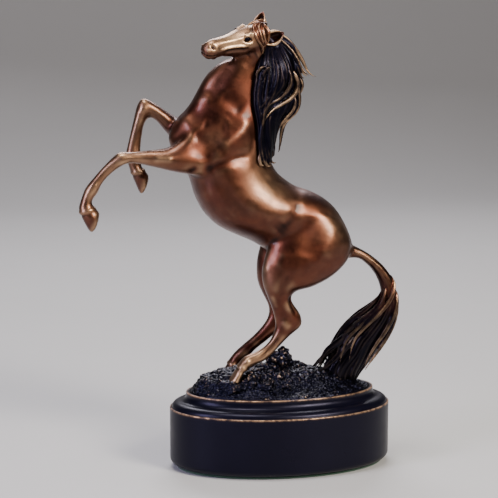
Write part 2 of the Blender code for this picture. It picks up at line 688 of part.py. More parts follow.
def build_base():
    half_length, half_width = PLINTH_LENGTH / 2, PLINTH_WIDTH / 2
    plinth = oval_solid("plinth", plinth_profile(), half_length, half_width, PLINTH_SIDES)
    ground = ground_solid("ground_casting")
    pad_profile = [(FELT_INSET, 0), (FELT_INSET, FELT_THICKNESS)]
    pad = oval_solid("felt_pad", pad_profile, half_length, half_width, PLINTH_SIDES)

    screw_top = GROUND_BOTTOM + INSERT_LENGTH
    washer_bottom = RECESS_FLOOR - SCREW_GRIP - WASHER_THICKNESS - FIT_GAP
    head_bottom = washer_bottom - FIT_GAP - SCREW_HEAD_HEIGHT
    # The screws stand between the pins of the hooves and the tail, which keep their place in the figure.
    spacing = SCREW_SPACING * FIGURE_SCALE
    for number, x in enumerate((-spacing, 0.0, spacing), 1):
        up = (0, 0, 1)
        shank_bottom = head_bottom + SCREW_HEAD_HEIGHT
        head_middle = (x, 0, (head_bottom + shank_bottom) / 2)
        screw = cylinder(f"base_screw_{number}", head_middle, up, SCREW_HEAD_RADIUS, SCREW_HEAD_HEIGHT)
        shank_length = screw_top - shank_bottom + SCREW_HEAD_HEIGHT / 2
        shank_middle = (x, 0, screw_top - shank_length / 2)
        shank = cylinder(f"base_screw_{number}_shank", shank_middle, up, SCREW_RADIUS, shank_length)
        boolean(screw, helper(shank), "UNION")
        finish(screw, STEEL)
        washer_middle = (x, 0, washer_bottom + WASHER_THICKNESS / 2)
        washer = cylinder(f"screw_washer_{number}", washer_middle, up, WASHER_RADIUS, WASHER_THICKNESS)
        insert_middle = (x, 0, GROUND_BOTTOM + INSERT_LENGTH / 2)
        insert = cylinder(f"threaded_insert_{number}", insert_middle, up, INSERT_RADIUS, INSERT_LENGTH)
        hole_middle = (x, 0, PLINTH_TOP / 2)
        clearance_hole = helper(
            cylinder(f"screw_hole_{number}", hole_middle, up, SCREW_RADIUS + FIT_GAP, 2 * PLINTH_TOP)
        )
        counterbore_top = RECESS_FLOOR - SCREW_GRIP
        counterbore = helper(
            cylinder(f"counterbore_{number}", (x, 0, 0), up, COUNTERBORE_RADIUS, 2 * counterbore_top)
        )
        insert_seat = helper(
            cylinder(
                f"insert_seat_{number}", (x, 0, GROUND_BOTTOM), up, INSERT_RADIUS + FIT_GAP,
                2 * (INSERT_LENGTH + FIT_GAP),
            )
        )
        for piece in (plinth, washer, insert):
            boolean(piece, clearance_hole)
        boolean(plinth, counterbore)
        boolean(ground, insert_seat)
        finish(washer, STEEL)
        finish(insert, BRASS)
    finish(plinth, LACQUER)
    finish(ground, GROUND_BRONZE)
    finish(pad, FELT)
    return ground


def main():
    for leftover in list(bpy.data.objects):
        bpy.data.objects.remove(leftover, do_unlink=True)
    pieces = build_figure()
    ground = build_base()
    standing = helper(ground_solid("standing_surface", raise_by=FIT_GAP))
    for name in ("near_hind_leg_casting", "far_hind_leg_casting", "tail_casting"):
        boolean(pieces[name], standing)

    pieces["ground_casting"] = ground
    torso = pieces["torso_casting"]
    for piece_name, pin_name, radius, length in SEAM_PINS:
        centre, normal, _ = SEAMS[piece_name]
        pin_in_hole(pin_name, (torso, pieces[piece_name]), figure_point(centre), normal, radius, length)
    for one, other, pin_name, centre, axis in OTHER_PINS:
        both = (pieces[one], pieces[other])
        pin_in_hole(pin_name, both, figure_point(centre), unit(axis), SMALL_PIN_RADIUS, SMALL_PIN_LENGTH)
    centre, normal, _ = SEAMS["neck_and_head_casting"]
    for number, offset in enumerate(DOWEL_OFFSETS, 1):
        spot = figure_point(Vector(centre) + Vector((0, 1, 0)).cross(unit(normal)) * offset)
        both = (torso, pieces["neck_and_head_casting"])
        pin_in_hole(f"neck_dowel_{number}", both, spot, unit(normal), DOWEL_RADIUS, DOWEL_LENGTH)

    for name, material in (
        ("mane_casting", DARK_BRONZE),
        ("tail_casting", DARK_BRONZE),
        ("torso_casting", BRONZE),
        ("neck_and_head_casting", BRONZE),
        ("near_foreleg_casting", BRONZE),
        ("far_foreleg_casting", BRONZE),
        ("near_hind_leg_casting", BRONZE),
        ("far_hind_leg_casting", BRONZE),
    ):
        finish(pieces[name], material)


main()
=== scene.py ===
"""Looks of the bronze statuette of a rearing horse on an oval black plinth.

Everything is modelled in figure millimetres, with heights measured from DATUM, and turned into metres
when a piece is finished. The horse faces -X and its near side faces -Y.
"""

import math
import random

import bmesh
import bpy
import numpy as np
from mathutils import Matrix, Vector


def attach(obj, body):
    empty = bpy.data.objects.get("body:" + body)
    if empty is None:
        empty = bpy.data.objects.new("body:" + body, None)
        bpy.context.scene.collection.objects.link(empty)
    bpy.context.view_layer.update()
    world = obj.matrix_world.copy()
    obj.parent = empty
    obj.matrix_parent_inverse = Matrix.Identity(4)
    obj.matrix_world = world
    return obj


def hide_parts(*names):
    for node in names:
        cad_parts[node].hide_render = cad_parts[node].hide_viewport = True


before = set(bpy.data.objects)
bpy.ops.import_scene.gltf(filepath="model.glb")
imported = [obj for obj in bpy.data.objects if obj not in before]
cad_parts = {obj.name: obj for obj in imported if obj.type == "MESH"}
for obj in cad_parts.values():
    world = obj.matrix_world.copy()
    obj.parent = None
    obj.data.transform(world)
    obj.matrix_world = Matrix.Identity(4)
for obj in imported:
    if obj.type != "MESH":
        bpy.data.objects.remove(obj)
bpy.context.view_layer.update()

DATUM = 50.0  # mm from the underside to the level that figure heights start at
ROOT = "root"
SIDEWAYS = Vector((0, 1, 0))
SECTION_SIDES = 32
SECTION_STEPS = 5
STRAND_SIDES = 8
CRUMB_SHARE = 0.01  # a closed shell with less than this share of the largest volume is a crumb
# Voxel sizes of the skins, in mm.
HORSE_VOXEL, MANE_VOXEL, FORELOCK_VOXEL, TAIL_VOXEL, GROUND_VOXEL = 0.88, 0.40, 0.26, 0.42, 0.43

# ---------------------------------------------------------------- sections of the figure
# Each section: x and height of a point of its outline, then of the opposite one, its middle in Y, half
# its thickness in Y and, where it isn't 0, how much fuller it is towards the first point.

TRUNK = [
    (-61, 164, -70, 150, 0, 9), (-50, 168, -69, 141, 0, 17), (-30, 164, -60, 138, 0, 21, -0.05),
    (-14, 154, -57.5, 133, 0, 22, -0.15), (-8, 147, -54.5, 123, 0, 22.5, -0.2),
    (-3, 138, -49, 113, 0, 23.5, -0.15), (3, 132.5, -41, 105, 0, 24.5, -0.1),
    (9.5, 128.3, -31, 99.5, 0, 25, -0.05), (16.5, 125.8, -20, 94.5, 0, 24.5),
    (23, 123, -11, 89, 0, 23, 0.1), (29.5, 119, -4, 83, 0, 22.5, 0.15),
    (35.5, 113.3, 3, 78, 0, 22.5, 0.1), (40.5, 105.5, 11, 74, 0, 21.5, 0.05), (44.5, 97, 21, 72, 0, 18.5),
    (46.5, 90, 32, 76, 0, 13), (47, 86.5, 40, 81, 0, 6),
]
NECK = [
    (-64, 146, -12, 133, 0, 18), (-71.5, 158.5, -9, 146, 0, 20, -0.1),
    (-67.5, 169.5, -6, 155, 0, 18.5, -0.1), (-59, 179, -4, 165, 0, 16), (-53.5, 188, -3, 177, 0, 14, 0.1),
    (-49.5, 195, -3, 189, 0, 12.5, 0.1), (-44, 201.5, -4, 200.5, 0, 11.5, 0.1),
    (-37, 206.5, -6, 211, -1, 10.5, 0.05), (-29, 209, -9, 220, -2, 9.5), (-22, 212, -12, 226, -3, 7),
]
NEAR_FORELEG = [
    (-60, 165, -40, 138, -12, 8), (-68, 159, -48, 136, -13, 8.5), (-74, 155.5, -58, 138, -13.5, 8.3),
    (-80, 154.7, -69, 140, -14, 7.2), (-88, 153.9, -80, 142.8, -14, 5.8),
    (-96, 153.3, -90, 145.5, -14, 4.7), (-103.5, 153.2, -98, 146.3, -14, 4.7),
    (-107.5, 150.4, -103.3, 144, -14, 4.3), (-113, 145.3, -108.6, 140.3, -14, 3.3),
    (-118.5, 139.3, -113.5, 135.2, -14, 3.2), (-124.5, 132, -116.8, 129.8, -14, 4.1),
    (-127.5, 124.5, -120.5, 124, -14, 3.7), (-128.9, 119, -119.6, 120.5, -14, 4.6),
    (-127.3, 114.5, -116.4, 117.5, -14, 5.4), (-122.5, 105.2, -116.4, 113.5, -14, 5.2),
    (-120.4, 104.6, -118.2, 108, -14, 3),
]
FAR_FORELEG = [
    (-48, 166, -44, 144, 12, 8), (-57, 168, -60, 150, 13, 8.5), (-63, 171, -68, 159, 14, 7.5),
    (-70, 175.7, -72.5, 164.5, 14, 6.2), (-77, 180.3, -77, 169.8, 14, 5.2),
    (-84.3, 183.8, -80.5, 171.5, 14, 4.8), (-88.2, 179.5, -82.5, 169.8, 14, 4.5),
    (-90.5, 171, -84.3, 166, 14, 4), (-92.8, 162, -85.3, 160, 14, 3.4), (-95, 153, -86.3, 151.5, 14, 3.5),
    (-96, 147.5, -85.6, 145.5, 14, 4.2), (-94.8, 144, -86, 141.5, 14, 3.9),
    (-93.6, 140, -82.2, 137, 14, 5), (-91.2, 133.5, -81.2, 134, 14, 5.3),
    (-87.2, 124.3, -82.2, 130, 14, 4.6), (-86.2, 123.6, -84.2, 125.5, 14, 2.6),
]
NEAR_HIND_LEG = [
    (6, 118, 36, 108, -10, 10), (-2, 107, 42, 95.5, -12, 12), (-9, 96, 41.5, 83.5, -13, 13),
    (-13, 86, 32, 73.5, -14, 12.5), (-15, 77, 18, 66.5, -14.5, 11), (-14.6, 69, 7, 64, -15, 9),
    (-11.8, 61, 3.4, 60, -15, 6.9), (-9.6, 55.5, 4.8, 56, -15, 5.8), (-7.8, 50, 7.8, 51.5, -15, 5.2),
    (-6.9, 45.5, 10.4, 46, -15, 5), (-6.6, 41.5, 9.6, 41, -15, 4.8), (-7.9, 37, 3.4, 36, -15, 4.4),
    (-10.2, 32.6, -2.8, 30, -15, 3.6), (-14.2, 28.6, -8, 24.6, -15, 3.4),
    (-19.5, 25.8, -13.6, 20, -15, 4), (-25, 23.8, -19.8, 17.6, -15, 3.9),
    (-29.2, 20.2, -24.4, 15.4, -15, 4.7), (-33.4, 12.8, -27.2, 12.2, -15, 5.4),
    (-36, 9, -28.8, 9, -15, 5.6), (-37.4, 5.5, -29.4, 5.5, -15, 5.4),
]
FAR_HIND_LEG = [
    (6, 116, 36, 106, 10, 10), (-2, 105, 42, 93.5, 12, 12), (-8.5, 93, 42, 81, 13, 13),
    (-11.3, 82, 33.5, 70.5, 14, 12.5), (-12.2, 72, 21, 63.5, 14.5, 11), (-11, 64, 11, 60, 15, 9),
    (-8.2, 57.5, 7.5, 55, 15, 6.9), (-5.4, 52, 8.2, 51, 15, 5.8), (-3.9, 47, 11.6, 47, 15, 5.2),
    (-4.6, 42, 13.6, 42, 15, 5), (-6.8, 38, 9.6, 36, 15, 4.6), (-9.8, 34.3, 0.2, 30.6, 15, 4),
    (-13.8, 30.3, -7, 25.2, 15, 3.6), (-19, 26, -13.2, 20.6, 15, 3.6), (-24, 21.8, -17.8, 15.8, 15, 4.2),
    (-27.8, 18, -22, 12.8, 15, 4), (-30.6, 14, -24.5, 9.5, 15, 4.8), (-34.5, 6.5, -26.5, 5, 15, 5.6),
    (-35.5, 3.5, -27.2, 2, 15, 5.4),
]
TAIL = [
    (40, 93, 37, 80, 0, 5.5), (50, 87.7, 49.5, 80.8, 0, 4.2), (58.5, 82.7, 55.5, 77.7, 0, 4),
    (67, 75.5, 61.3, 71.5, 0, 4.2), (74, 65.5, 65.3, 63, 0, 4.8), (77, 53, 66, 54.5, 0, 5.5),
    (76, 41, 60, 47, 0, 6.5), (72.5, 29.5, 50, 40.5, 0, 7.5), (66, 20, 41.8, 33.5, 0, 8),
    (59, 12, 37, 23, 0, 8), (53, 6, 30, 14, 0, 7.5), (49, 0.5, 27, 5, 0, 7),
]
MANE_CORE = [
    (-6, 222, -14, 222, -3, 4), (0, 217, -12, 216, -3, 5.5), (5, 209, -10, 208, -3, 6),
    (7, 200, -10, 199, -3, 6.5), (5, 191, -10, 190, -3, 7), (3, 182, -10, 181, -4, 7.5),
    (-1, 174, -10, 173, -5, 7.5), (-4.5, 165, -12, 164, -6, 7), (-5.5, 156, -14, 155, -7.5, 6),
    (-7.5, 148.5, -14, 149, -8.5, 4.5), (-9, 145, -13, 145.5, -9, 2.5),
]

# The head's own frame: u along the nose from the poll, v to the horse's left, w out of the forehead.
POLL = Vector((-12.1, -4.5, 223.0))
HEAD_TURN = (22.0, 8.5, 27.0)  # yaw, pitch and roll in degrees
HEAD_SCALE = 0.87
HEAD = [  # distance from the poll, forehead, jaw, half width, fullness
    (-3, 4.5, -8, 5.5, 0), (2.5, 7.2, -14, 8, 0), (8, 8.2, -17.5, 9.2, 0.15), (14.5, 8.2, -17, 9.4, 0.3),
    (20.5, 6.9, -14.4, 8.2, 0.3), (26.5, 5.4, -12.2, 6.9, 0.2), (32.5, 4.5, -10.8, 5.9, 0.1),
    (38.5, 4.3, -10.2, 5.7, 0), (43.5, 4.2, -10.4, 6.2, 0), (48, 2.4, -9.4, 5.6, 0),
    (51, -1.2, -6.8, 3.2, 0),
]


def head_axes():
    yaw, pitch, roll = (math.radians(a) for a in HEAD_TURN)
    turn = Matrix.Rotation(yaw, 3, "Z") @ Matrix.Rotation(-pitch, 3, "Y") @ Matrix.Rotation(roll, 3, "X")
    return turn @ Vector((-1, 0, 0)), turn @ Vector((0, -1, 0)), turn @ Vector((0, 0, 1))


NOSE, LEFT, UP = head_axes()


def head_point(u, v, w):
    return POLL + (NOSE * u + LEFT * v + UP * w) * HEAD_SCALE


# ---------------------------------------------------------------- lofts and sweeps


def body_ring(section):
    x1, z1, x2, z2, middle, half_width, *fuller = section
    a, b = Vector((x1, middle, z1)), Vector((x2, middle, z2))
    return (a + b) / 2, (a - b) / 2, Vector((0, half_width, 0)), sum(fuller)


def head_ring(section):
    u, top, bottom, half_width, fullness = section
    centre = head_point(u, 0, (top + bottom) / 2)
    return centre, UP * (top - bottom) / 2 * HEAD_SCALE, LEFT * half_width * HEAD_SCALE, fullness


def catmull(values, steps):
    """Catmull-Rom values between the given ones, each a number or a Vector."""
    out = []
    last = len(values) - 1
    for i in range(last):
        a, b, c, d = (values[min(max(k, 0), last)] for k in (i - 1, i, i + 1, i + 2))
        for step in range(steps):
            t = step / steps
            out.append(
                a * ((-t + 2 * t**2 - t**3) / 2)
                + b * ((2 - 5 * t**2 + 3 * t**3) / 2)
                + c * ((t + 4 * t**2 - 3 * t**3) / 2)
                + d * ((-(t**2) + t**3) / 2)
            )
    out.append(values[-1])
    return out


def between(rings, steps):
    return list(zip(*(catmull([ring[k] for ring in rings], steps) for k in range(4))))


def skin(bm, loops):
    """One closed shell over loops of points."""
    rows = [[bm.verts.new(p) for p in loop] for loop in loops]
    faces = [bm.faces.new(rows[0]), bm.faces.new(rows[-1])]
    count = len(rows[0])
    for a, b in zip(rows, rows[1:]):
        for i in range(count):
            j = (i + 1) % count
            faces.append(bm.faces.new((a[i], a[j], b[j], b[i])))
    bmesh.ops.recalc_face_normals(bm, faces=faces)


def circle(count):
    return [2 * math.pi * i / count for i in range(count)]


def loft(bm, rings):
    loops = []
    for centre, towards, across, fullness in between(rings, SECTION_STEPS):
        loop = []
        for angle in circle(SECTION_SIDES):
            side = math.sin(angle) * (1 + fullness * math.cos(angle))
            loop.append(centre + towards * math.cos(angle) + across * side)
        loops.append(loop)
    skin(bm, loops)


def strand_axes(path, i):
    """At point i of a path: the direction nearest to sideways across it, and the one square to that."""
    along = (path[min(i + 1, len(path) - 1)] - path[max(i - 1, 0)]).normalized()
    out = (SIDEWAYS - along * SIDEWAYS.dot(along)).normalized()
    return out, along.cross(out)


def sweep(bm, path, radii, flat, steps=4):
    """A tapered strand along a path. Flat is its thickness along Y over its width."""
    points = catmull(path, steps)
    loops = []
    for i, (point, size) in enumerate(zip(points, catmull(radii, steps))):
        thick, wide = strand_axes(points, i)
        loops.append([
            point + wide * size * math.cos(angle) + thick * size * flat * math.sin(angle)
            for angle in circle(STRAND_SIDES)
        ])
    skin(bm, loops)


# ---------------------------------------------------------------- dense meshes as arrays


def in_scene(name, data):
    made = bpy.data.objects.new(name, data)
    bpy.context.scene.collection.objects.link(made)
    return made


def to_object(name, bm):
    mesh = bpy.data.meshes.new(name)
    bm.to_mesh(mesh)
    bm.free()
    return in_scene(name, mesh)


def read_points(mesh, what="co"):
    """The places of a mesh's points, or their normals, as the rows of an array."""
    out = np.empty(len(mesh.vertices) * 3)
    mesh.vertices.foreach_get(what, out)
    return out.reshape(-1, 3)


def drop_crumbs(mesh):
    """Deletes closed cavities and loose bits, so that only large outer skins are left."""
    mesh.calc_loop_triangles()
    corners = np.empty(len(mesh.loop_triangles) * 3, np.int32)
    mesh.loop_triangles.foreach_get("vertices", corners)
    a, b, c = corners.reshape(-1, 3).T
    points = read_points(mesh)
    labels = np.arange(len(points))
    while True:
        low = np.minimum(np.minimum(labels[a], labels[b]), labels[c])
        joined = labels.copy()
        for corner in (a, b, c):
            np.minimum.at(joined, labels[corner], low)
        joined = joined[joined]
        if (joined == labels).all():
            break
        labels = joined
    # A cavity's faces point inwards, so its volume comes out below zero.
    shares = (points[a] * np.cross(points[b], points[c])).sum(axis=1)
    volumes = np.bincount(labels[a], weights=shares, minlength=len(points))
    crumbs = np.flatnonzero(~(volumes > CRUMB_SHARE * volumes.max())[labels])
    bm = bmesh.new()
    bm.from_mesh(mesh)
    bm.verts.ensure_lookup_table()
    bmesh.ops.delete(bm, geom=[bm.verts[int(i)] for i in crumbs], context="VERTS")
    bm.to_mesh(mesh)
    bm.free()


def remeshed(name, bm, voxel):
    """One skin over all the shells of a bmesh. The object's mesh is in figure millimetres."""
    rough = to_object(name + "_rough", bm)
    modifier = rough.modifiers.new("skin", "REMESH")
    modifier.mode = "VOXEL"
    modifier.voxel_size = voxel
    bpy.context.view_layer.update()
    graph = bpy.context.evaluated_depsgraph_get()
    mesh = bpy.data.meshes.new_from_object(rough.evaluated_get(graph))
    bpy.data.objects.remove(rough, do_unlink=True)
    drop_crumbs(mesh)
    return in_scene(name, mesh)


def subdivide_where(made, test):
    """Splits the faces whose middle passes the test."""
    bm = bmesh.new()
    bm.from_mesh(made.data)
    faces = [f for f in bm.faces if test(f.calc_center_median())]
    edges = list({e for f in faces for e in f.edges})
    bmesh.ops.subdivide_edges(bm, edges=edges, cuts=1, use_grid_fill=True)
    bmesh.ops.triangulate(bm, faces=[f for f in bm.faces if len(f.verts) > 4])
    bm.to_mesh(made.data)
    bm.free()


class Shape:
    """A mesh's points and edges as arrays, for moving many points at once."""

    def __init__(self, made):
        self.mesh = made.data
        self.points = read_points(self.mesh)
        edges = np.empty(len(self.mesh.edges) * 2, np.int32)
        self.mesh.edges.foreach_get("vertices", edges)
        edges = edges.reshape(-1, 2)
        self.ends = np.concatenate([edges, edges[:, ::-1]])
        self.degree = np.bincount(self.ends[:, 0], minlength=len(self.points)).astype(float)

    def mean(self, values):
        """Each point's neighbours' mean of some values."""
        start, end = self.ends.T
        columns = values.reshape(len(values), -1).T
        sums = [np.bincount(start, weights=column[end], minlength=len(values)) for column in columns]
        return (np.stack(sums, axis=1) / self.degree[:, None]).reshape(values.shape)

    def blurred(self, values, rounds):
        for _ in range(rounds):
            values = values + (self.mean(values) - values) * 0.7
        return values

    def smooth(self, rounds, share=0.5, weight=1.0):
        weight = np.broadcast_to(np.asarray(weight, float), len(self.points))[:, None]
        for _ in range(rounds):
            self.points += (self.mean(self.points) - self.points) * share * weight

    def smooth_full(self, rounds):
        """Smooths without shrinking: each round shrinks a little and then grows back."""
        for _ in range(rounds):
            self.smooth(1, 0.5)
            self.smooth(1, -0.53)

    def store(self):
        self.mesh.vertices.foreach_set("co", self.points.ravel())
        self.mesh.update()

    def normals(self):
        self.store()
        return read_points(self.mesh, "normal")

    def relief(self, rounds):
        """How far each point stands out of its smoothed surroundings, in mm."""
        return ((self.points - self.blurred(self.points, rounds)) * self.normals()).sum(axis=1)

    def attribute(self, name, values):
        stored = self.mesh.attributes.new(name, "FLOAT", "POINT")
        stored.data.foreach_set("value", np.clip(values, 0, 1).astype(np.float32))


def path_distance(points, path):
    """Each point's distance from a line of points, and how far along it the nearest spot is."""
    path = np.asarray(path, float)
    best = np.full(len(points), np.inf)
    where = np.zeros(len(points))
    for i in range(max(1, len(path) - 1)):
        a = path[i]
        b = path[min(i + 1, len(path) - 1)]
        step = b - a
        length = max(float(step @ step), 1e-9)
        t = np.clip((points - a) @ step / length, 0, 1)
        d = np.linalg.norm(points - a - t[:, None] * step, axis=1)
        nearer = d < best
        best[nearer] = d[nearer]
        where[nearer] = (i + t[nearer]) / max(1, len(path) - 1)
    return best, where


def near_spot(points, spot, reach, power=2):
    """1 at a spot, fading out over its reach."""
    return np.exp(-((np.linalg.norm(points - spot, axis=1) / reach) ** power))


def near_line(points, path, reach, power=2):
    return np.exp(-((path_distance(points, path)[0] / reach) ** power))


def near_spots(points, spots):
    """The strongest of some spots' weights, each spot with its reach and its share."""
    total = np.zeros(len(points))
    for spot, reach, share in spots:
        total = np.maximum(total, share * near_spot(points, spot, reach))
    return total


def stroke_weight(points, path, radius):
    """1 on a line, fading out over its radius and towards the line's ends."""
    d, t = path_distance(points, path)
    weight = np.exp(-((d / radius) ** 2))
    if len(path) > 1:
        weight = weight * np.clip(np.minimum(t, 1 - t) * 5 + 0.25, 0, 1)
    return weight


def side_on(line):
    return [(x, 0, z) for x, z in line]


def cell_keys(cells, seed):
    return (cells * np.array([73856093, 19349663, 83492791])).sum(axis=1) + seed * 1013904223


def value_noise(points, size, seed):
    """Smooth noise from -1 to 1 over 3-D points."""
    place = points / size
    base = np.floor(place).astype(np.int64)
    part = place - base
    part = part * part * (3 - 2 * part)
    total = np.zeros(len(points))
    for corner in range(8):
        bit = np.array([corner & 1, corner >> 1 & 1, corner >> 2 & 1])
        hashed = cell_keys(base + bit, seed)
        hashed = (hashed ^ (hashed >> 13)) * 1274126177 & 0xFFFFFF
        weight = np.prod(np.where(bit, part, 1 - part), axis=1)
        total += weight * (hashed / 0x7FFFFF - 1)
    return total


def finish_piece(made, material, replaces=()):
    mesh = made.data
    points = read_points(mesh)
    points[:, 2] += DATUM
    mesh.vertices.foreach_set("co", (points * 0.001).ravel())
    mesh.update()
    mesh.materials.append(material)
    mesh.shade_smooth()
    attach(made, ROOT)
    if replaces:
        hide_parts(*replaces)


# ---------------------------------------------------------------- materials


def nodes_of(name):
    material = bpy.data.materials.new(name)
    material.use_nodes = True
    tree = material.node_tree
    return material, tree, tree.nodes["Principled BSDF"]


def add(tree, kind, **values):
    node = tree.nodes.new(kind)
    for key, value in values.items():
        if key in node.inputs.keys():
            node.inputs[key].default_value = value
        else:
            setattr(node, key, value)
    return node


def noise(tree, scale, detail=4.0, roughness=0.55):
    place = add(tree, "ShaderNodeTexCoord")
    made = add(tree, "ShaderNodeTexNoise", Scale=scale, Detail=detail, Roughness=roughness)
    tree.links.new(place.outputs["Object"], made.inputs["Vector"])
    return made.outputs["Fac"]


def ramp(tree, value, stops):
    made = add(tree, "ShaderNodeValToRGB")
    elements = made.color_ramp.elements
    while len(elements) < len(stops):
        elements.new(0.5)
    for element, (position, colour) in zip(elements, stops):
        element.position = position
        element.color = (*colour, 1.0) if not isinstance(colour, float) else (colour, colour, colour, 1.0)
    tree.links.new(value, made.inputs["Fac"])
    return made.outputs["Color"]


def mix(tree, share, a, b):
    made = add(tree, "ShaderNodeMix", data_type="RGBA")
    colour_a, colour_b = [s for s in made.inputs if s.type == "RGBA"][:2]
    tree.links.new(share, made.inputs[0])
    for socket, value in ((colour_a, a), (colour_b, b)):
        if isinstance(value, tuple):
            socket.default_value = (*value, 1.0)
        else:
            tree.links.new(value, socket)
    return [s for s in made.outputs if s.type == "RGBA"][0]


def maths(tree, operation, a, b):
    made = add(tree, "ShaderNodeMath", operation=operation, use_clamp=True)
    for socket, value in zip(made.inputs, (a, b)):
        if isinstance(value, (int, float)):
            socket.default_value = value
        else:
            tree.links.new(value, socket)
    return made.outputs["Value"]


def attribute(tree, name):
    return add(tree, "ShaderNodeAttribute", attribute_name=name).outputs["Fac"]


def bump(tree, shader, height, strength, distance):
    made = add(tree, "ShaderNodeBump", Strength=strength, Distance=distance)
    tree.links.new(height, made.inputs["Height"])
    tree.links.new(made.outputs["Normal"], shader.inputs["Normal"])


def patinated(name, dark, middle, gold, rough, grain, coat, cover, lower=None):
    """Cast bronze: patina that varies, black in the hollows and gold where wear shows on what stands out;
    the same masks also carry painted shade (black) and painted highlights (gold).

    Where the attribute "dark" says so, the patina turns to the colours in `lower`.
    """
    material, tree, shader = nodes_of(name)
    cloud = ramp(tree, noise(tree, 70.0, 5.0), [(0.32, 0.0), (0.68, 1.0)])
    base = mix(tree, cloud, dark, middle)
    if lower:
        base = mix(tree, attribute(tree, "dark"), base, mix(tree, cloud, *lower))
    breakup = noise(tree, 420.0, 6.0, 0.7)
    # Gold from wear, and gold painted highlights.
    wear_and_highlight_gold = maths(tree, "MULTIPLY", attribute(tree, "wear_and_painted_highlight"), maths(tree, "ADD", breakup, cover))
    colour = mix(tree, wear_and_highlight_gold, base, gold)
    # Black patina in the hollows, and painted shade.
    hollow_and_shade_darkening = maths(tree, "MULTIPLY", attribute(tree, "hollows_and_painted_shade"), 0.92)
    colour = mix(tree, hollow_and_shade_darkening, colour, tuple(c * 0.16 for c in dark))
    tree.links.new(colour, shader.inputs["Base Color"])
    patch = ramp(tree, noise(tree, 160.0, 5.0, 0.6), [(0.3, rough - 0.07), (0.7, rough + 0.09)])
    matt = maths(tree, "MULTIPLY", attribute(tree, "hollows_and_painted_shade"), 0.25)
    tree.links.new(maths(tree, "ADD", patch, matt), shader.inputs["Roughness"])
    shader.inputs["Metallic"].default_value = 1.0
    shader.inputs["Coat Weight"].default_value = coat
    shader.inputs["Coat Roughness"].default_value = 0.18
    bump(tree, shader, noise(tree, grain, 6.0, 0.65), 0.12, 0.0004)
    return material


def lacquered():
    """Black satin lacquer with its moulding edges worn to gold."""
    material, tree, shader = nodes_of("black_satin_lacquer")
    base = mix(tree, noise(tree, 45.0, 4.0), (0.0012, 0.0012, 0.0035), (0.003, 0.0027, 0.008))
    breakup = ramp(tree, noise(tree, 260.0, 5.0, 0.7), [(0.40, 0.12), (0.60, 1.0)])
    edge = maths(tree, "MULTIPLY", attribute(tree, "wear_and_painted_highlight"), breakup)
    patch = ramp(tree, noise(tree, 120.0, 4.0), [(0.3, 0.27), (0.7, 0.36)])
    tree.links.new(mix(tree, edge, base, (0.62, 0.38, 0.22)), shader.inputs["Base Color"])
    tree.links.new(maths(tree, "MULTIPLY", edge, 0.9), shader.inputs["Metallic"])
    tree.links.new(patch, shader.inputs["Roughness"])
    shader.inputs["Specular IOR Level"].default_value = 0.18
    # The violet tint of the reflections is a painted sheen of violet light.
    shader.inputs["Specular Tint"].default_value = (0.72, 0.68, 1.0, 1.0)
    bump(tree, shader, noise(tree, 1500.0, 3.0), 0.05, 0.0002)
    return material


def plain_metal(name, colour, rough):
    material, tree, shader = nodes_of(name)
    tone = mix(tree, noise(tree, 300.0, 4.0), tuple(c * 0.8 for c in colour), colour)
    patch = ramp(tree, noise(tree, 700.0), [(0.3, rough - 0.08), (0.7, rough + 0.1)])
    tree.links.new(tone, shader.inputs["Base Color"])
    tree.links.new(patch, shader.inputs["Roughness"])
    shader.inputs["Metallic"].default_value = 1.0
    bump(tree, shader, noise(tree, 2500.0), 0.08, 0.0001)
    return material


def felted():
    material, tree, shader = nodes_of("green_felt")
    fibres = noise(tree, 2200.0, 6.0, 0.8)
    tone = mix(tree, fibres, (0.008, 0.03, 0.018), (0.03, 0.085, 0.05))
    tree.links.new(tone, shader.inputs["Base Color"])
    shader.inputs["Roughness"].default_value = 0.95
    shader.inputs["Sheen Weight"].default_value = 0.4
    bump(tree, shader, fibres, 0.5, 0.0004)
    return material


BRONZE = patinated("red_bronze", (0.062, 0.018, 0.012), (0.120, 0.037, 0.020), (0.80, 0.53, 0.31),
                   rough=0.37, grain=1400.0, coat=0.22, cover=0.5)
DARK = patinated("black_bronze", (0.002, 0.002, 0.006), (0.006, 0.005, 0.011), (0.80, 0.52, 0.31),
                 rough=0.40, grain=1400.0, coat=0.06, cover=0.5)
EARTH = patinated("ground_bronze", (0.004, 0.004, 0.010), (0.009, 0.009, 0.021), (0.66, 0.46, 0.32),
                  rough=0.40, grain=900.0, coat=0.1, cover=0.2)
TAIL_BRONZE = patinated("tail_bronze", (0.044, 0.014, 0.010), (0.085, 0.027, 0.015), (0.82, 0.54, 0.32),
                        rough=0.34, grain=1400.0, coat=0.1, cover=0.5,
                        lower=((0.002, 0.002, 0.006), (0.008, 0.006, 0.011)))
LACQUER = lacquered()
STEEL = plain_metal("plain_steel", (0.55, 0.55, 0.56), 0.35)
BRASS = plain_metal("plain_brass", (0.72, 0.52, 0.22), 0.32)
FELT = felted()


# ---------------------------------------------------------------- horse

RELIEF_SHARE = 0.72
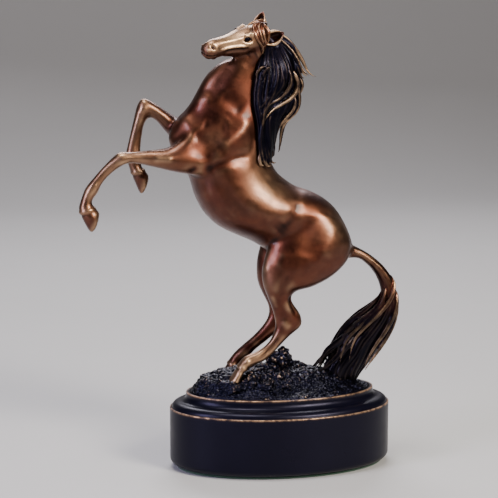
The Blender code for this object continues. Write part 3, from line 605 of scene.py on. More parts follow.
# Relief on the trunk and thighs, made on both sides: a line seen square on, as (x, height), its radius
# and how far it stands out (or, below zero, sinks in), in mm before RELIEF_SHARE.
BODY_RELIEF = [
    # shoulder: blade and upper arm, and the hollows round them
    ([(-23, 173), (-28, 165), (-36, 159), (-43, 154)], 5, 1.9),
    ([(-66, 176), (-61, 169), (-56, 163)], 5, 1.6), ([(-55, 184), (-46, 184.5)], 3.6, 1.1),
    ([(-52, 171), (-44, 168), (-37, 168)], 5.2, -1.7), ([(-40, 188), (-32, 181), (-27, 177)], 5, -1.2),
    ([(-38, 176), (-34.5, 172)], 1.3, -0.6), ([(-60, 160), (-55, 153), (-46, 150)], 5, -1.2),
    ([(-22, 152), (-33, 148.5), (-44, 145), (-54, 140)], 2.8, -1.1),
    ([(-19, 163), (-21, 157), (-22, 152)], 2, -0.9), ([(-57, 143), (-62, 140.5)], 2, -0.9),
    # neck: the long muscle in front of the mane and the throat's groove
    ([(-33, 206), (-41, 195), (-50, 186)], 4, -0.8), ([(-25, 207), (-31, 196), (-38, 188)], 4.5, 0.8),
    # ribs and belly line
    ([(-46, 139), (-37, 125), (-27, 114), (-14, 106)], 4.2, -0.9),
    ([(-52, 131), (-45, 118), (-34, 108)], 5, 0.6), ([(-27, 147), (-17, 134), (-7, 122)], 8, 0.8),
    # flank fold, hollow and point of the hip
    ([(7, 121), (4.5, 115), (2, 110), (-3, 104.5)], 3.4, -0.9), ([(-3, 108), (-8, 103)], 5.5, -1),
    ([(8.5, 123), (12, 120)], 4, 0.5),
    # thigh
    ([(-11, 98), (-13.3, 86), (-13.5, 76)], 2.4, 1), ([(15, 112), (15, 100), (11, 86)], 6.5, -1.2),
    ([(31, 108), (28, 96), (22, 84)], 6, 1.1), ([(38, 93), (31, 80), (20, 72)], 3, -0.5),
    ([(-3, 90), (-8, 80)], 4, 0.7), ([(0, 77), (-4, 68), (-5, 60)], 2.4, -0.7),
]
# Relief on the legs, as lines in space: the line's points, its radius, how far it stands out.
LEG_RELIEF = [
    # near foreleg: elbow, knee, tendon groove, fetlock
    ([(-72, -22, 149), (-84, -21, 149)], 2.6, 0.6), ([(-98, -18, 147), (-104, -18, 147)], 1.8, 0.5),
    ([(-107, -18, 145.5), (-112, -18, 140.5), (-117, -18, 135.5)], 0.9, -0.5),
    ([(-116.5, -14, 131), (-119.5, -14, 126)], 1.6, 0.5),
    ([(-119.7, -18, 127), (-121.5, -18.5, 124)], 1.2, -0.4),
    # far foreleg, outer side and the side towards the camera
    ([(-83, 9.5, 178), (-87, 9.5, 176)], 2, 0.5),
    ([(-86.5, 10, 168), (-88.5, 10, 158), (-89.5, 10, 150)], 1, -0.4),
    ([(-86.5, 18, 168), (-88.5, 18, 158), (-89.5, 18, 150)], 1, -0.4),
    ([(-85.5, 14, 149), (-84.8, 14, 145)], 1.4, 0.6),
    # near hind leg: gaskin, string of the hock, hock, tendon groove, fetlock
    ([(-11, -21, 62), (-7.5, -20.5, 53)], 2, 0.6),
    ([(1, -19, 62), (3.2, -19.5, 55), (6.5, -19.5, 49)], 1.1, -0.8),
    ([(-1, -20.5, 57), (1, -20, 52.5)], 1.6, 0.6), ([(7.5, -17, 53.5), (9.8, -17, 48)], 1.2, 0.5),
    ([(-3, -20, 45.5), (1.5, -20, 41)], 2.6, 0.7),
    ([(-4, -18.5, 37), (-8.5, -18.3, 31), (-13.5, -18, 26), (-18.5, -18.5, 22)], 0.9, -0.7),
    ([(-20.5, -15, 18.2), (-23, -15, 16.6)], 1.5, 0.8), ([(-26.5, -18.5, 23), (-24, -18.8, 19)], 1, 0.5),
    # far hind leg
    ([(-7.5, 21, 59), (-5, 20.5, 51)], 2, 0.6), ([(4, 19, 59), (5.5, 19.5, 52), (9, 19.5, 45)], 1, -0.7),
    ([(0, 20, 42), (4, 20, 38)], 2.4, 0.6),
    ([(-4, 18.5, 33.5), (-10.5, 18, 27.5), (-16, 18, 23)], 0.9, -0.6),
]
# Coronets: the hoof's top edge, as its middle, the leg's direction there, and the hoof's half depth.
CORONETS = [
    ((-124.5, -14, 118), (0.35, 0, -1), 8), ((-87.8, 14, 138.2), (0.25, 0, -1), 8),
    ((-28.6, -15, 16.6), (-0.6, 0, -1), 8), ((-27.8, 15, 11.4), (-0.6, 0, -1), 8),
]
# Relief on the head in its own frame, made on both sides: the line, its radius, how far it stands out.
HEAD_RELIEF = [
    ([(13, 6.2, 7), (17.2, 6.6, 7.4), (21.4, 5.8, 6.6)], 1.9, 2.3),  # brow
    ([(9, 6.4, 7), (11.8, 7.4, 5.6)], 1.8, -0.9),  # hollow over the eye
    ([(15.6, 8.4, 4), (18.7, 8.2, 3.8), (21.8, 7.4, 3.7)], 1.9, -1.1),  # eye socket
    ([(15.6, 8.8, 1.3), (18.9, 8.6, 1), (22.2, 7.8, 1.7)], 0.8, 0.7),  # lower lid
    ([(19, 8.6, -0.8), (25, 7.6, -0.5), (32, 6.3, -1), (38, 5.8, -1.6)], 1, 1.1),  # facial crest
    ([(19, 8.6, -3.8), (28, 7, -3.6), (36, 5.8, -4)], 1.8, -1.1),
    ([(7, 8.6, -8), (11, 8.8, -9.5)], 4.6, 0.9),  # cheek
    ([(16.5, 7.4, -6.5), (16, 6.6, -11), (13.5, 5, -15.5)], 1.3, -1),
    ([(22, 5.4, 5), (30, 4.4, 3.8), (40, 3.8, 3)], 1.3, 0.5),  # edge of the nose
    # rim of the nostril
    ([(43.2, 5.4, 3.2), (46, 4.8, 4.6), (49.2, 3.8, 3.4), (50.4, 3.2, 0.6), (49.2, 4.4, -1.8)], 0.9, 1.1),
    ([(45.8, 5.6, 2.4), (47.2, 5.2, 0.8)], 1.9, -2.7),  # nostril
    ([(41, 5.8, -0.6), (37, 5.4, 0.2)], 1.2, -0.5),
    ([(51.4, 0, -4.4), (49.4, 4.2, -5.2), (46, 5.9, -5.8), (42, 5.9, -5.6)], 0.55, -1.1),  # mouth
    ([(49.6, 1.6, -7.2), (46.6, 4, -7.8)], 1.2, 0.5),  # lower lip
    ([(44, 2.6, -10.2), (41, 2.6, -10.4)], 1.8, 0.8),  # chin
    ([(37, 3.2, -9.8), (33, 3.4, -10.2)], 1.9, -0.8),
    ([(34, 2.2, -10.6), (24, 3.6, -13), (16, 4.6, -15.8)], 1.2, 0.5),  # jaw bone
]
# Where the patina wears thin over an area, and where gold stands as a painted highlight on the barrel,
# the croup and the upper face: the spot, its reach and how much gold shows.
WEAR_AND_HIGHLIGHT_SPOTS = [
    ((-100, -18, 148), 26, 0.16), ((-118, -16, 128), 12, 0.2), ((-90, 14, 175), 14, 0.18),
    ((-88, 14, 150), 16, 0.12), ((-24, -18, 22), 15, 0.26), ((-34, -15, 12), 9, 0.45),
    ((-14, -16, 72), 9, 0.1), ((-36, -16, 223), 15, 0.5), ((-24, -8, 230), 9, 0.4),
    ((-52, -6, 196), 13, 0.05), ((-8, -20, 136), 18, 0.22), ((36, -16, 106), 13, 0.2),
    ((46, -2, 95), 14, 0.10), ((-45, -18, 160), 9, 0.04),
]
# Painted shade over an area, on both sides, in the creases and hollows and under the neck and the mane:
# the line seen square on, its radius, how dark.
SHADED = [
    ([(7, 121), (4.5, 115), (2, 110), (-3, 104.5)], 3.6, 0.5), ([(-4, 106), (-9, 98)], 6.5, 0.45),
    ([(-56, 168), (-47, 165)], 6.5, 0.65), ([(-50, 148), (-42, 146)], 6, 0.55),
    ([(-30, 186), (-26, 172)], 7, 0.55), ([(-58, 146), (-61, 142)], 5, 0.6),
    ([(10, 96), (6, 84)], 7, 0.45), ([(-36, 128), (-28, 116)], 7, 0.35),
    ([(-48, 186), (-40, 184)], 5, 0.4), ([(14, 112), (12, 104)], 6, 0.4), ([(28, 90), (18, 80)], 6, 0.35),
    ([(4, 62), (6, 54)], 3.5, 0.45),
]
# The joins between the trunk, the neck and the limbs, smoothed more than the limbs themselves: the spot,
# its reach and its share.
JOINS = [
    ((-62, -14, 152), 15, 1), ((-62, 14, 160), 15, 1), ((-68, 0, 158), 12, 1), ((-10, 0, 155), 20, 1),
    ((4, -16, 108), 16, 1), ((4, 16, 106), 16, 1), ((36, 0, 104), 16, 1), ((42, 0, 88), 8, 1),
    ((-55, 0, 182), 14, 1), ((-30, 0, 168), 26, 1), ((5, 0, 68), 12, 1), ((34, -12, 82), 12, 1),
    ((34, 12, 82), 12, 1), ((-15, 0, 100), 12, 1),
]
# The middle line of the trunk, where the finer ridges stay unrubbed.
BARREL = [(-55, 0, 182), (-35, 0, 160), (-5, 0, 125), (28, 0, 100)]


def smooth_skin():
    """The horse's skin without its muscles, finer round the head."""
    bm = bmesh.new()
    for sections in (TRUNK, NECK, NEAR_FORELEG, FAR_FORELEG, NEAR_HIND_LEG, FAR_HIND_LEG):
        loft(bm, [body_ring(s) for s in sections])
    loft(bm, [head_ring(s) for s in HEAD])
    loft(bm, [body_ring(s) for s in TAIL[:3]])
    horse = remeshed("horse_body", bm, HORSE_VOXEL)
    shape = Shape(horse)
    shape.smooth_full(4)
    shape.smooth(40, 0.6, near_spots(shape.points, JOINS))
    shape.smooth(4, 0.5, np.where(shape.points[:, 2] > 60, 1.0, 0.3))
    shape.store()
    subdivide_where(horse, lambda p: (p - head_point(24, 0, -5)).length < 27)
    return horse


def sculpt_trunk(shape, head_weight):
    normals = shape.normals()
    y = shape.points[:, 1]
    sides = np.clip((np.abs(y) - 2) / 5, 0, 1) * np.clip(normals[:, 1] * np.sign(y) * 1.5 + 0.3, 0, 1)
    flat = shape.points * (1, 0, 1)
    move = np.zeros(len(flat))
    for line, radius, height in BODY_RELIEF:
        move += stroke_weight(flat, side_on(line), radius) * sides * height * RELIEF_SHARE
    shape.points += normals * move[:, None]
    shape.smooth(5, 0.5, 1 - head_weight)


def sculpt_legs_and_head(shape):
    normals = shape.normals()
    move = np.zeros(len(shape.points))
    for line, radius, height in LEG_RELIEF:
        move += stroke_weight(shape.points, line, radius) * height
    for line, radius, height in HEAD_RELIEF:
        for side in (1, -1):
            place = [head_point(u, v * side, w) for u, v, w in line]
            move += stroke_weight(shape.points, place, radius * HEAD_SCALE) * height * HEAD_SCALE
    for middle, direction, reach in CORONETS:
        along = (shape.points - middle) @ (np.array(direction) / np.linalg.norm(direction))
        rim = 0.55 * np.exp(-((along / 0.9) ** 2)) - 0.35 * np.exp(-(((along - 2.0) / 0.8) ** 2))
        move += near_spot(shape.points, middle, reach, 4) * rim
    shape.points += normals * move[:, None]
    shape.smooth(1, 0.4)


def build_horse():
    horse = smooth_skin()
    shape = Shape(horse)
    head_weight = near_line(shape.points, [head_point(4, 0, -6), head_point(48, 0, -3)], 14, 4)
    shape.smooth(6, 0.5, head_weight)
    sculpt_trunk(shape, head_weight)
    sculpt_legs_and_head(shape)

    relief = shape.relief(20)
    ridges = relief - shape.blurred(relief, 60) * 0.85
    points = shape.points
    crisp = np.clip((ridges - 0.05) * 2.2, 0, 0.28)
    for _ in range(4):
        crisp = (crisp + shape.mean(crisp)) / 2
    crisp *= (1 + 1.2 * head_weight) * (1 - 0.85 * near_line(points, BARREL, 36, 4))
    cloud = value_noise(points, 9.0, 3) * 0.5 + value_noise(points, 3.0, 4) * 0.3
    # Painted shade on the lower half of the head, where the jaw turns away from the light.
    jaw_painted_shade = head_weight * np.clip((-1.2 - (points - POLL) @ UP / HEAD_SCALE) / 1.6, 0, 1)
    # Gold from wear on ridges and spots, plus gold painted highlights; none in the painted shade under the
    # jaw.
    wear_and_painted_highlight = crisp + cloud * 0.03 + near_spots(points, WEAR_AND_HIGHLIGHT_SPOTS)
    shape.attribute("wear_and_painted_highlight", wear_and_painted_highlight * (1 - 0.85 * jaw_painted_shade))
    # Painted shade along the SHADED lines, on the sides only.
    shaded = np.zeros(len(points))
    for line, radius, share in SHADED:
        shaded += near_line(points * (1, 0, 1), side_on(line), radius) * share
    shaded *= np.clip(np.abs(points[:, 1]) / 9, 0, 1)
    # Dark patina in the hollows, plus painted shade under the jaw and along the SHADED lines.
    shape.attribute("hollows_and_painted_shade", (-ridges - 0.06) * 4.0 + jaw_painted_shade * 0.4 + shaded)
    finish_piece(
        horse, BRONZE,
        ("torso_casting", "neck_and_head_casting", "near_foreleg_casting", "far_foreleg_casting",
         "near_hind_leg_casting", "far_hind_leg_casting"),
    )


EAR_LENGTH = 14.5
EAR_OUTLINE = [  # share of the length from the root, share of the half width
    (0, 0.55), (0.12, 0.74), (0.3, 0.98), (0.46, 1), (0.64, 0.84), (0.8, 0.56), (0.92, 0.28), (1, 0.06),
]


def in_head(vector):
    return NOSE * vector[0] + LEFT * vector[1] + UP * vector[2]


def build_ear(name, tip, direction, opening, twist, half):
    """A leaf-shaped ear with a hollow front. Tip, direction and opening are in the head's frame."""
    end = head_point(*tip)
    along = in_head(direction).normalized()
    front = in_head(opening)
    front = (front - along * front.dot(along)).normalized()
    length = EAR_LENGTH * HEAD_SCALE
    loops = []
    for t, w in zip(*(catmull(column, 5) for column in zip(*EAR_OUTLINE))):
        turned = Matrix.Rotation(twist * (1 - t), 3, along) @ front
        across = along.cross(turned).normalized()
        centre = end - along * length * (1 - t) + turned * (0.9 * t * t - 0.6 * math.sin(t * math.pi))
        loop = []
        for angle in circle(44):
            x, y = math.sin(angle), math.cos(angle)
            depth = 0.62 * y
            if y > 0:
                cup = min(1.0, t * 5 + 0.1) * min(1.0, (1 - t) * 4.5)
                depth = 0.46 * y - 0.86 * cup * math.exp(-((x / 0.6) ** 4))
                depth = max(depth, -0.40 * math.sqrt(max(0.0, 1 - x * x)))
            loop.append(centre + across * half * w * x + turned * half * w * depth)
        loops.append(loop)
    bm = bmesh.new()
    skin(bm, loops)
    ear = to_object(name, bm)
    shape = Shape(ear)
    shape.smooth(1, 0.4)
    relief = shape.relief(10)
    shape.attribute("wear_and_painted_highlight", (relief - 0.02) * 3.0)
    shape.attribute("hollows_and_painted_shade", (-relief - 0.03) * 5.0)
    finish_piece(ear, BRONZE)


def build_eye(name, side):
    bm = bmesh.new()
    bmesh.ops.create_uvsphere(bm, u_segments=32, v_segments=20, radius=2.15 * HEAD_SCALE)
    squash = Matrix.Diagonal((1.0, 0.72, 0.82, 1.0))
    turn = Matrix((NOSE, LEFT * side, UP)).transposed().to_4x4()
    bm.transform(Matrix.Translation(head_point(18.8, 7.0 * side, 3.7)) @ turn @ squash)
    bmesh.ops.recalc_face_normals(bm, faces=bm.faces[:])
    eye = to_object(name, bm)
    shape = Shape(eye)
    shape.attribute("wear_and_painted_highlight", np.zeros(len(shape.points)))
    shape.attribute("hollows_and_painted_shade", np.full(len(shape.points), 0.5))
    finish_piece(eye, DARK)


# ---------------------------------------------------------------- hair


def blend_paths(first, second, share):
    return [Vector(a) * (1 - share) + Vector(b) * share for a, b in zip(first, second)]


def resampled(path, count):
    """The same line as `count` points an equal way apart."""
    points = [np.array(p) for p in catmull([Vector(p) for p in path], 8)]
    lengths = np.cumsum([0] + [np.linalg.norm(b - a) for a, b in zip(points, points[1:])])
    wanted = np.linspace(0, lengths[-1], count)
    stacked = np.array(points)
    return [Vector([np.interp(s, lengths, stacked[:, k]) for k in range(3)]) for s in wanted]


# Lines that the mane's strands follow on the near side, from its front to its back edge.
MANE_LINES = [
    [(-13, -9, 213), (-17, -12.5, 206), (-19.5, -14, 196), (-20, -14.5, 184), (-18.5, -16, 170),
     (-19, -17, 158), (-17, -16.5, 147.5)],
    [(-11, -7, 216), (-13, -13, 207), (-14.5, -15.5, 197), (-16.5, -16.5, 185), (-16.5, -17.5, 172),
     (-17, -18, 159), (-15, -17, 146)],
    [(-8, -6, 217), (-6.5, -12, 208.5), (-6, -15, 199), (-9.5, -16, 188), (-14.5, -17, 177),
     (-14.5, -17.5, 161), (-12.5, -16, 144.5)],
    [(-4, -5, 219), (-1, -10, 210.5), (1.5, -12.5, 202), (0.5, -13, 193), (-7.5, -14.5, 181),
     (-12.5, -16, 168), (-10.5, -14, 144)],
    [(-3, -4, 222.5), (4, -6.5, 213), (6.8, -8.5, 203), (6.4, -9.5, 193), (-1, -11.5, 181),
     (-8, -13.5, 169), (-8.5, -11.5, 146)],
    [(-4, -2, 225), (5.5, -4, 214), (10, -5, 203), (10.3, -6, 192.5), (6.2, -7.5, 178.5),
     (-2.5, -9, 169), (-5, -8.5, 148.5)],
]
# On the far side the mane only covers the crest.
CREST_LINES = [
    [(-8, 0, 225.5), (1, 0.5, 216), (5.5, 1, 205), (5, 1, 194), (2.5, 0, 182), (-2, -1, 170),
     (-6, -3, 150)],
    [(-10, 3, 224), (-4, 5, 215), (-1.5, 6, 205), (-2, 6.5, 194), (-4, 6.5, 182), (-8, 6, 170),
     (-9.5, 3, 152)],
    [(-12, 5, 222), (-9, 8, 213), (-8, 9.5, 203), (-8.5, 10.5, 192), (-9.5, 11, 181), (-11.5, 10, 171),
     (-12, 7, 155)],
]
# Loose locks: the line, the widest radius and how much of its gold shows.
MANE_LOCKS = [
    ([(-6, -5, 224.5), (1, -6, 220.8), (6.9, -6, 214.7), (12, -5.5, 207.5), (15.2, -5.5, 201.2),
     (18.4, -5.5, 197.8), (22.9, -5.5, 196.6)], 1.7, 1),
    ([(-6, -2, 224), (3, -1, 218), (8.5, -1, 210), (12, -1, 203), (15.5, -2, 198.6), (19.5, -3, 196.9)],
     2.2, 0.3),
    ([(-4, -6, 222), (4, -7.5, 214), (8.6, -8.5, 207), (10.8, -8, 201.5), (13.6, -7, 198),
     (17.5, -6, 196.6)], 1.7, 0.8),
    ([(2, -7, 212), (7.4, -8.4, 205), (9.6, -8.6, 200), (12, -7.5, 196.4), (15.2, -6.5, 195.4)],
     1.4, 0.25),
    ([(1, -10, 205), (5.6, -11, 199.4), (8.2, -11, 193.4), (6.6, -11.5, 187.4), (2.4, -12.5, 183.2),
     (-4, -14, 179.8), (-10.4, -16.5, 176), (-14.8, -18, 169.8)], 1.5, 1),
    ([(-1, -12, 206), (2.2, -13.5, 200.4), (3.2, -14, 194.6), (0.8, -14.5, 189), (-4.8, -15.5, 184),
     (-11.4, -17.5, 180.6), (-15.6, -18.5, 174.6)], 1.3, 0.35),
    ([(-5, -14, 205), (-2.4, -15, 199), (-2.2, -15.5, 193), (-6, -16, 188), (-11.6, -17.3, 184.8),
     (-16.4, -18, 179.2)], 1.2, 0.15),
    ([(6, -5, 203), (10.6, -6, 196), (12.2, -6.5, 191), (10.6, -6.5, 186.2), (8, -7.5, 184)], 1.6, 0.8),
    ([(5, -7, 199), (8.8, -8, 190), (9.6, -8, 184.4), (9, -8.5, 178), (5.4, -9, 173.4), (0.6, -9.5, 169),
     (-1.8, -9.5, 163), (-2.6, -9.5, 155), (-2.8, -9, 150)], 1.5, 1),
    ([(4, -8, 190), (6.8, -9.5, 182.4), (5.6, -10, 177), (1.2, -11, 172.4), (-3.6, -12, 167),
     (-5.8, -12, 160), (-6.2, -11.5, 150)], 1.3, 0.5),
    ([(8, -3, 189), (9.8, -3, 183.2), (8.8, -3.5, 177.5), (4.6, -4.5, 172.6), (0.6, -6, 167.8),
     (-1.2, -7, 161.5), (-2.2, -7, 153.5), (-4.2, -8, 147)], 1.9, 0.15),
    ([(-13, -14.8, 204), (-16.4, -15.6, 203), (-18.6, -15.6, 199.8), (-18.6, -15, 195)], 0.9, 0.25),
    ([(-9, -15.6, 203.4), (-12, -16.3, 203), (-14.4, -16.3, 200), (-14.8, -15.8, 195.5)], 0.8, 0.2),
    ([(-15, -16.5, 153), (-17.2, -17.4, 148), (-16.4, -17.6, 144.2), (-13, -17.2, 142.4)], 1.4, 1),
    ([(-12, -15.5, 151), (-13.6, -16.4, 146), (-11.6, -16.4, 143), (-8.2, -15.2, 143.4)], 1.3, 1),
    ([(-8, -12.5, 152), (-9.6, -13.5, 147), (-7.5, -13.5, 144.4), (-4.8, -12.5, 145.4)], 1.2, 0.7),
]
# The forelock, in the head's frame: it falls from between the ears over the near temple.
FORELOCK = [
    ([(-1, 0, 9), (5, 0, 10.4), (10, 0.5, 9.8), (12.6, 4.6, 8.4), (12.8, 8, 5.6), (10.5, 10.2, 1.6),
     (8.4, 11, -1.4), (6.6, 11.2, -6), (6.4, 10.6, -10.5), (4.2, 10.4, -11.2)], 1.35),
    ([(-1, 1, 9), (6, 0.5, 10.4), (10.2, 2.6, 9.6), (11.4, 6.2, 7.6), (10.6, 9, 4), (8.4, 10.8, 0),
     (6.8, 11.4, -4)], 1.3),
    ([(-1, 1, 8.8), (5, 1.5, 10.2), (8.4, 4.4, 9.2), (9, 7.6, 6.6), (8, 10.2, 2.6), (6.6, 11.2, -1.6)],
     1.35),
    ([(-1, 1, 8.6), (4.4, 3, 9.6), (6.4, 6, 8.4), (6.4, 9, 5.2), (5.6, 10.8, 1), (5.8, 11.4, -3)], 1.35),
    ([(-1.5, 0, 8.5), (3.4, 1.8, 9.8), (3, 5, 9.2), (2.2, 8, 6.8), (3.4, 10.6, 1.4), (6.4, 11.4, -1.8),
     (8, 11.2, -4.6)], 1.4),
    ([(-1, -1, 9.2), (5, -2.2, 10.2), (10.5, -2.4, 10), (14.5, -1, 9.2), (16.5, 1.4, 8.2)], 1.2),
    ([(-2.5, -2, 8), (-1, -4, 8.8), (2.5, -6, 8.2), (5.5, -7.4, 6.2)], 1.2),
]


def lock(bm, path, width, seed, flat=0.62):
    """A tapered lock of hair made of a few twisted strands."""
    draw = random.Random(seed)
    path = resampled(path, 12)
    last = len(path) - 1
    phase = draw.uniform(0, 6.28)
    strands = 4
    for s in range(strands):
        turn = phase + s * 2 * math.pi / strands
        twist = draw.uniform(1.2, 2.4)
        moved, radii = [], []
        for i, p in enumerate(path):
            t = i / last
            spread = math.sin(min(1.0, t * 3 + 0.12) * math.pi / 2) * (1 - t**3)
            out, across = strand_axes(path, i)
            angle = turn + twist * i / last
            reach = width * 0.55 * spread
            moved.append(p + across * math.cos(angle) * reach + out * math.sin(angle) * reach * 0.55)
            radii.append(max(0.16, width * 0.60 * (0.35 + 0.65 * spread) * (1 - 0.72 * t**2.5)))
        sweep(bm, moved, radii, flat)


def hair_piece(name, bm, voxel, shown, base):
    """Remeshed strands. Gold shows along the lines in `shown`, each with its reach and its share."""
    hair = remeshed(name, bm, voxel)
    shape = Shape(hair)
    shape.smooth(1, 0.5)
    relief = shape.relief(12)
    gate = np.full(len(shape.points), base)
    for line, reach, share in shown:
        gate = np.maximum(gate, share * near_line(shape.points, line, reach))
    broken = 0.7 + 0.45 * value_noise(shape.points, 3.5, 9)
    shape.attribute("wear_and_painted_highlight", (relief - 0.02) * 4.0 * gate * broken)
    shape.attribute("hollows_and_painted_shade", (-relief - 0.03) * 4.0)
    return hair


def strands_between(bm, lines, count, widths, seed, wave=1.2):
    """Many wavy strands, each between two neighbouring lines."""
    draw = random.Random(seed)
    for i in range(count):
        place = (i + draw.uniform(0.2, 0.8)) / count * (len(lines) - 1)
        k = min(int(place), len(lines) - 2)
        path = resampled(blend_paths(lines[k], lines[k + 1], place - k), 14)
        phase = place * 1.7 + draw.uniform(-0.5, 0.5)
        lift = draw.uniform(-0.7, 0.4)
        width = draw.uniform(*widths)
        moved, radii = [], []
        for n, p in enumerate(path):
            t = n / 13
            sway = wave * (0.35 + 0.65 * t) * math.sin(phase + 9.5 * t)
            moved.append(p + Vector((sway, lift + 0.35 * math.sin(phase * 2 + 7 * t), 0)))
            radii.append(width * (0.75 + 0.25 * math.sin(phase + 11 * t)) * min(1.0, (1 - t) * 4 + 0.3))
        sweep(bm, moved, radii, 0.75)


def build_mane():
    bm = bmesh.new()
    loft(bm, [body_ring(s) for s in MANE_CORE])
    strands_between(bm, MANE_LINES, 44, (0.75, 1.45), 11)
    strands_between(bm, CREST_LINES, 20, (0.9, 1.5), 12, 0.9)
    for i, (line, width, _) in enumerate(MANE_LOCKS):
        lock(bm, line, width, 300 + i)
    shown = [(line, 1.6, share * 0.75) for line, _, share in MANE_LOCKS]
    mane = hair_piece("mane_hair", bm, MANE_VOXEL, shown, 0.035)
    finish_piece(mane, DARK, ("mane_casting",))


def build_forelock():
    bm = bmesh.new()
    for i, (line, width) in enumerate(FORELOCK):
        lock(bm, [head_point(*p) for p in line], width * 0.86, 400 + i, flat=0.85)
    finish_piece(hair_piece("forelock_hair", bm, FORELOCK_VOXEL, (), 0.8), BRONZE)


# The tail's outer edge, where gold is laid along it as a painted highlight.
TAIL_LIT_EDGE = [
    (50, -1.5, 88), (59, -1.5, 83), (67.5, -1.5, 76), (74, -1.5, 66.5), (77, -1.5, 56), (76, -1.5, 46),
]
# Locks of the tail's lower half: the line, the widest radius and how much of its gold shows.
TAIL_LOCKS = [
    ([(74, -5, 62), (70, -6.5, 53), (63, -8, 45.5), (55, -9, 38.5), (47.5, -9.5, 31), (44, -9.5, 22),
     (43, -9, 12)], 1.5, 0.55),
    ([(68, -4.5, 60), (65, -6, 51), (58, -7, 43.5), (49.5, -8, 37), (42, -8.5, 30), (38.5, -8.5, 21),
     (37, -8.5, 10)], 1.4, 0.3),
    ([(67, -3, 57), (62, -5, 49), (53, -6, 42.5), (44, -7, 36), (37.5, -7.5, 28), (35.5, -7.5, 19),
     (32.5, -7.5, 9)], 1.6, 0.12),
    ([(64, 0, 53), (55, -1, 45.5), (44, -2, 38.5), (37.5, -3, 30), (34, -4, 21), (30.5, -5, 13),
     (24, -5, 6.5)], 2, 0.06),
    ([(62, 4, 50), (52, 5, 43), (42, 5, 34), (35, 4, 24), (30, 3, 15), (24, 1, 8), (18, 0, 5)], 2, 0.06),
    ([(76, -4, 55), (73, -6, 43), (67, -7.5, 33), (60, -8.5, 24), (55, -8.5, 15), (52, -8, 6)], 1.5, 0.5),
    ([(76.5, -2, 50), (74, -3.5, 38), (68.5, -5, 28), (62, -6, 19), (56, -6, 11), (52, -5, 4)], 1.6, 0.7),
    ([(76, 1, 48), (73, 2, 34), (66, 3, 22), (59, 3, 12), (53, 3, 4)], 2, 0.1),
    ([(48, -4, 37), (40, -6.5, 30), (33, -7.5, 26), (27.5, -7.5, 21.5), (24.5, -7, 15),
     (21.5, -6.5, 11)], 3, 0.06),
    ([(47, -2, 35), (39, -4, 27.5), (31, -5, 22.5), (25.5, -5, 17), (21, -5, 11)], 3, 0.06),
    ([(43, 3, 30), (36, 3, 23), (29, 2, 17), (23, 1, 12), (18, 0, 7.5)], 2.8, 0.06),
    ([(44, -6, 27), (37, -7.5, 20), (31, -8, 15), (26, -8, 11), (21, -7, 8.5)], 2.6, 0.06),
]


def build_tail():
    draw = random.Random(5)
    bm = bmesh.new()
    rings = [body_ring(s) for s in TAIL]
    loft(bm, [(c, t * 0.9, a * 0.9, f) for c, t, a, f in rings])
    dense = between(rings, 3)
    strands = 40
    for s in range(strands):
        start = 2 * math.pi * s / strands + draw.uniform(-0.05, 0.05)
        phase = draw.uniform(0, 1.2) + start
        size = draw.uniform(0.8, 1.15)
        path, radii = [], []
        for i, (centre, towards, across, _) in enumerate(dense):
            t = i / (len(dense) - 1)
            # The hair turns as it falls, and waves more towards its end.
            angle = start + 1.5 * t + 0.22 * math.sin(phase + 8 * t) * t
            reach = 0.90 + 0.05 * math.sin(2 * phase + 11 * t) * t
            path.append(centre + towards * math.cos(angle) * reach + across * math.sin(angle) * reach)
            radii.append(size * (0.42 + 0.72 * t) * (0.85 + 0.15 * math.sin(phase + 9 * t)))
        path.append(path[-1] + (path[-1] - path[-2]) * 0.4)
        radii.append(radii[-1] * 0.6)
        sweep(bm, path, radii, 0.9, steps=3)
    for i, (line, width, _) in enumerate(TAIL_LOCKS):
        x, _, z = line[0]
        lock(bm, [(x * 0.5 + 35.5, 0, z + 7), *line], width, 500 + i)
    # Along the outer edge the gold is a painted highlight; along the locks it is wear.
    shown = [(TAIL_LIT_EDGE, 5.0, 1.0)] + [(line, 1.4, share * 0.7) for line, _, share in TAIL_LOCKS]
    tail = hair_piece("tail_hair", bm, TAIL_VOXEL, shown, 0.04)
    # The dock stays bronze: its patina darkens down the tail, and the colour also turns darker towards the
    # tail's inner side.
    shape = Shape(tail)
    x, _, z = shape.points.T
    inner = np.clip((70.5 - x) / 9, 0, 1) * np.clip((78 - z) / 14, 0, 1)
    shape.attribute("dark", np.maximum(np.clip((60 - z) / 18, 0, 1), inner * 0.9))
    finish_piece(tail, TAIL_BRONZE, ("tail_casting",))


# ---------------------------------------------------------------- ground

# Levels above the underside and widths, in mm.
PLINTH_HALF = (71.0, 45.0)
RIM = 38.8
PLATE_TOP = 48.4
RECESS = 45.9
MOULDING_INSET = 10.9
MOULDING_HEIGHT = 9.6
LIP = 1.8
GAP = 0.3
GROUND_HALF = tuple(h - MOULDING_INSET - LIP - GAP for h in PLINTH_HALF)
GROUND_BOTTOM = RECESS + GAP - DATUM
FELT_TOP = 1.5

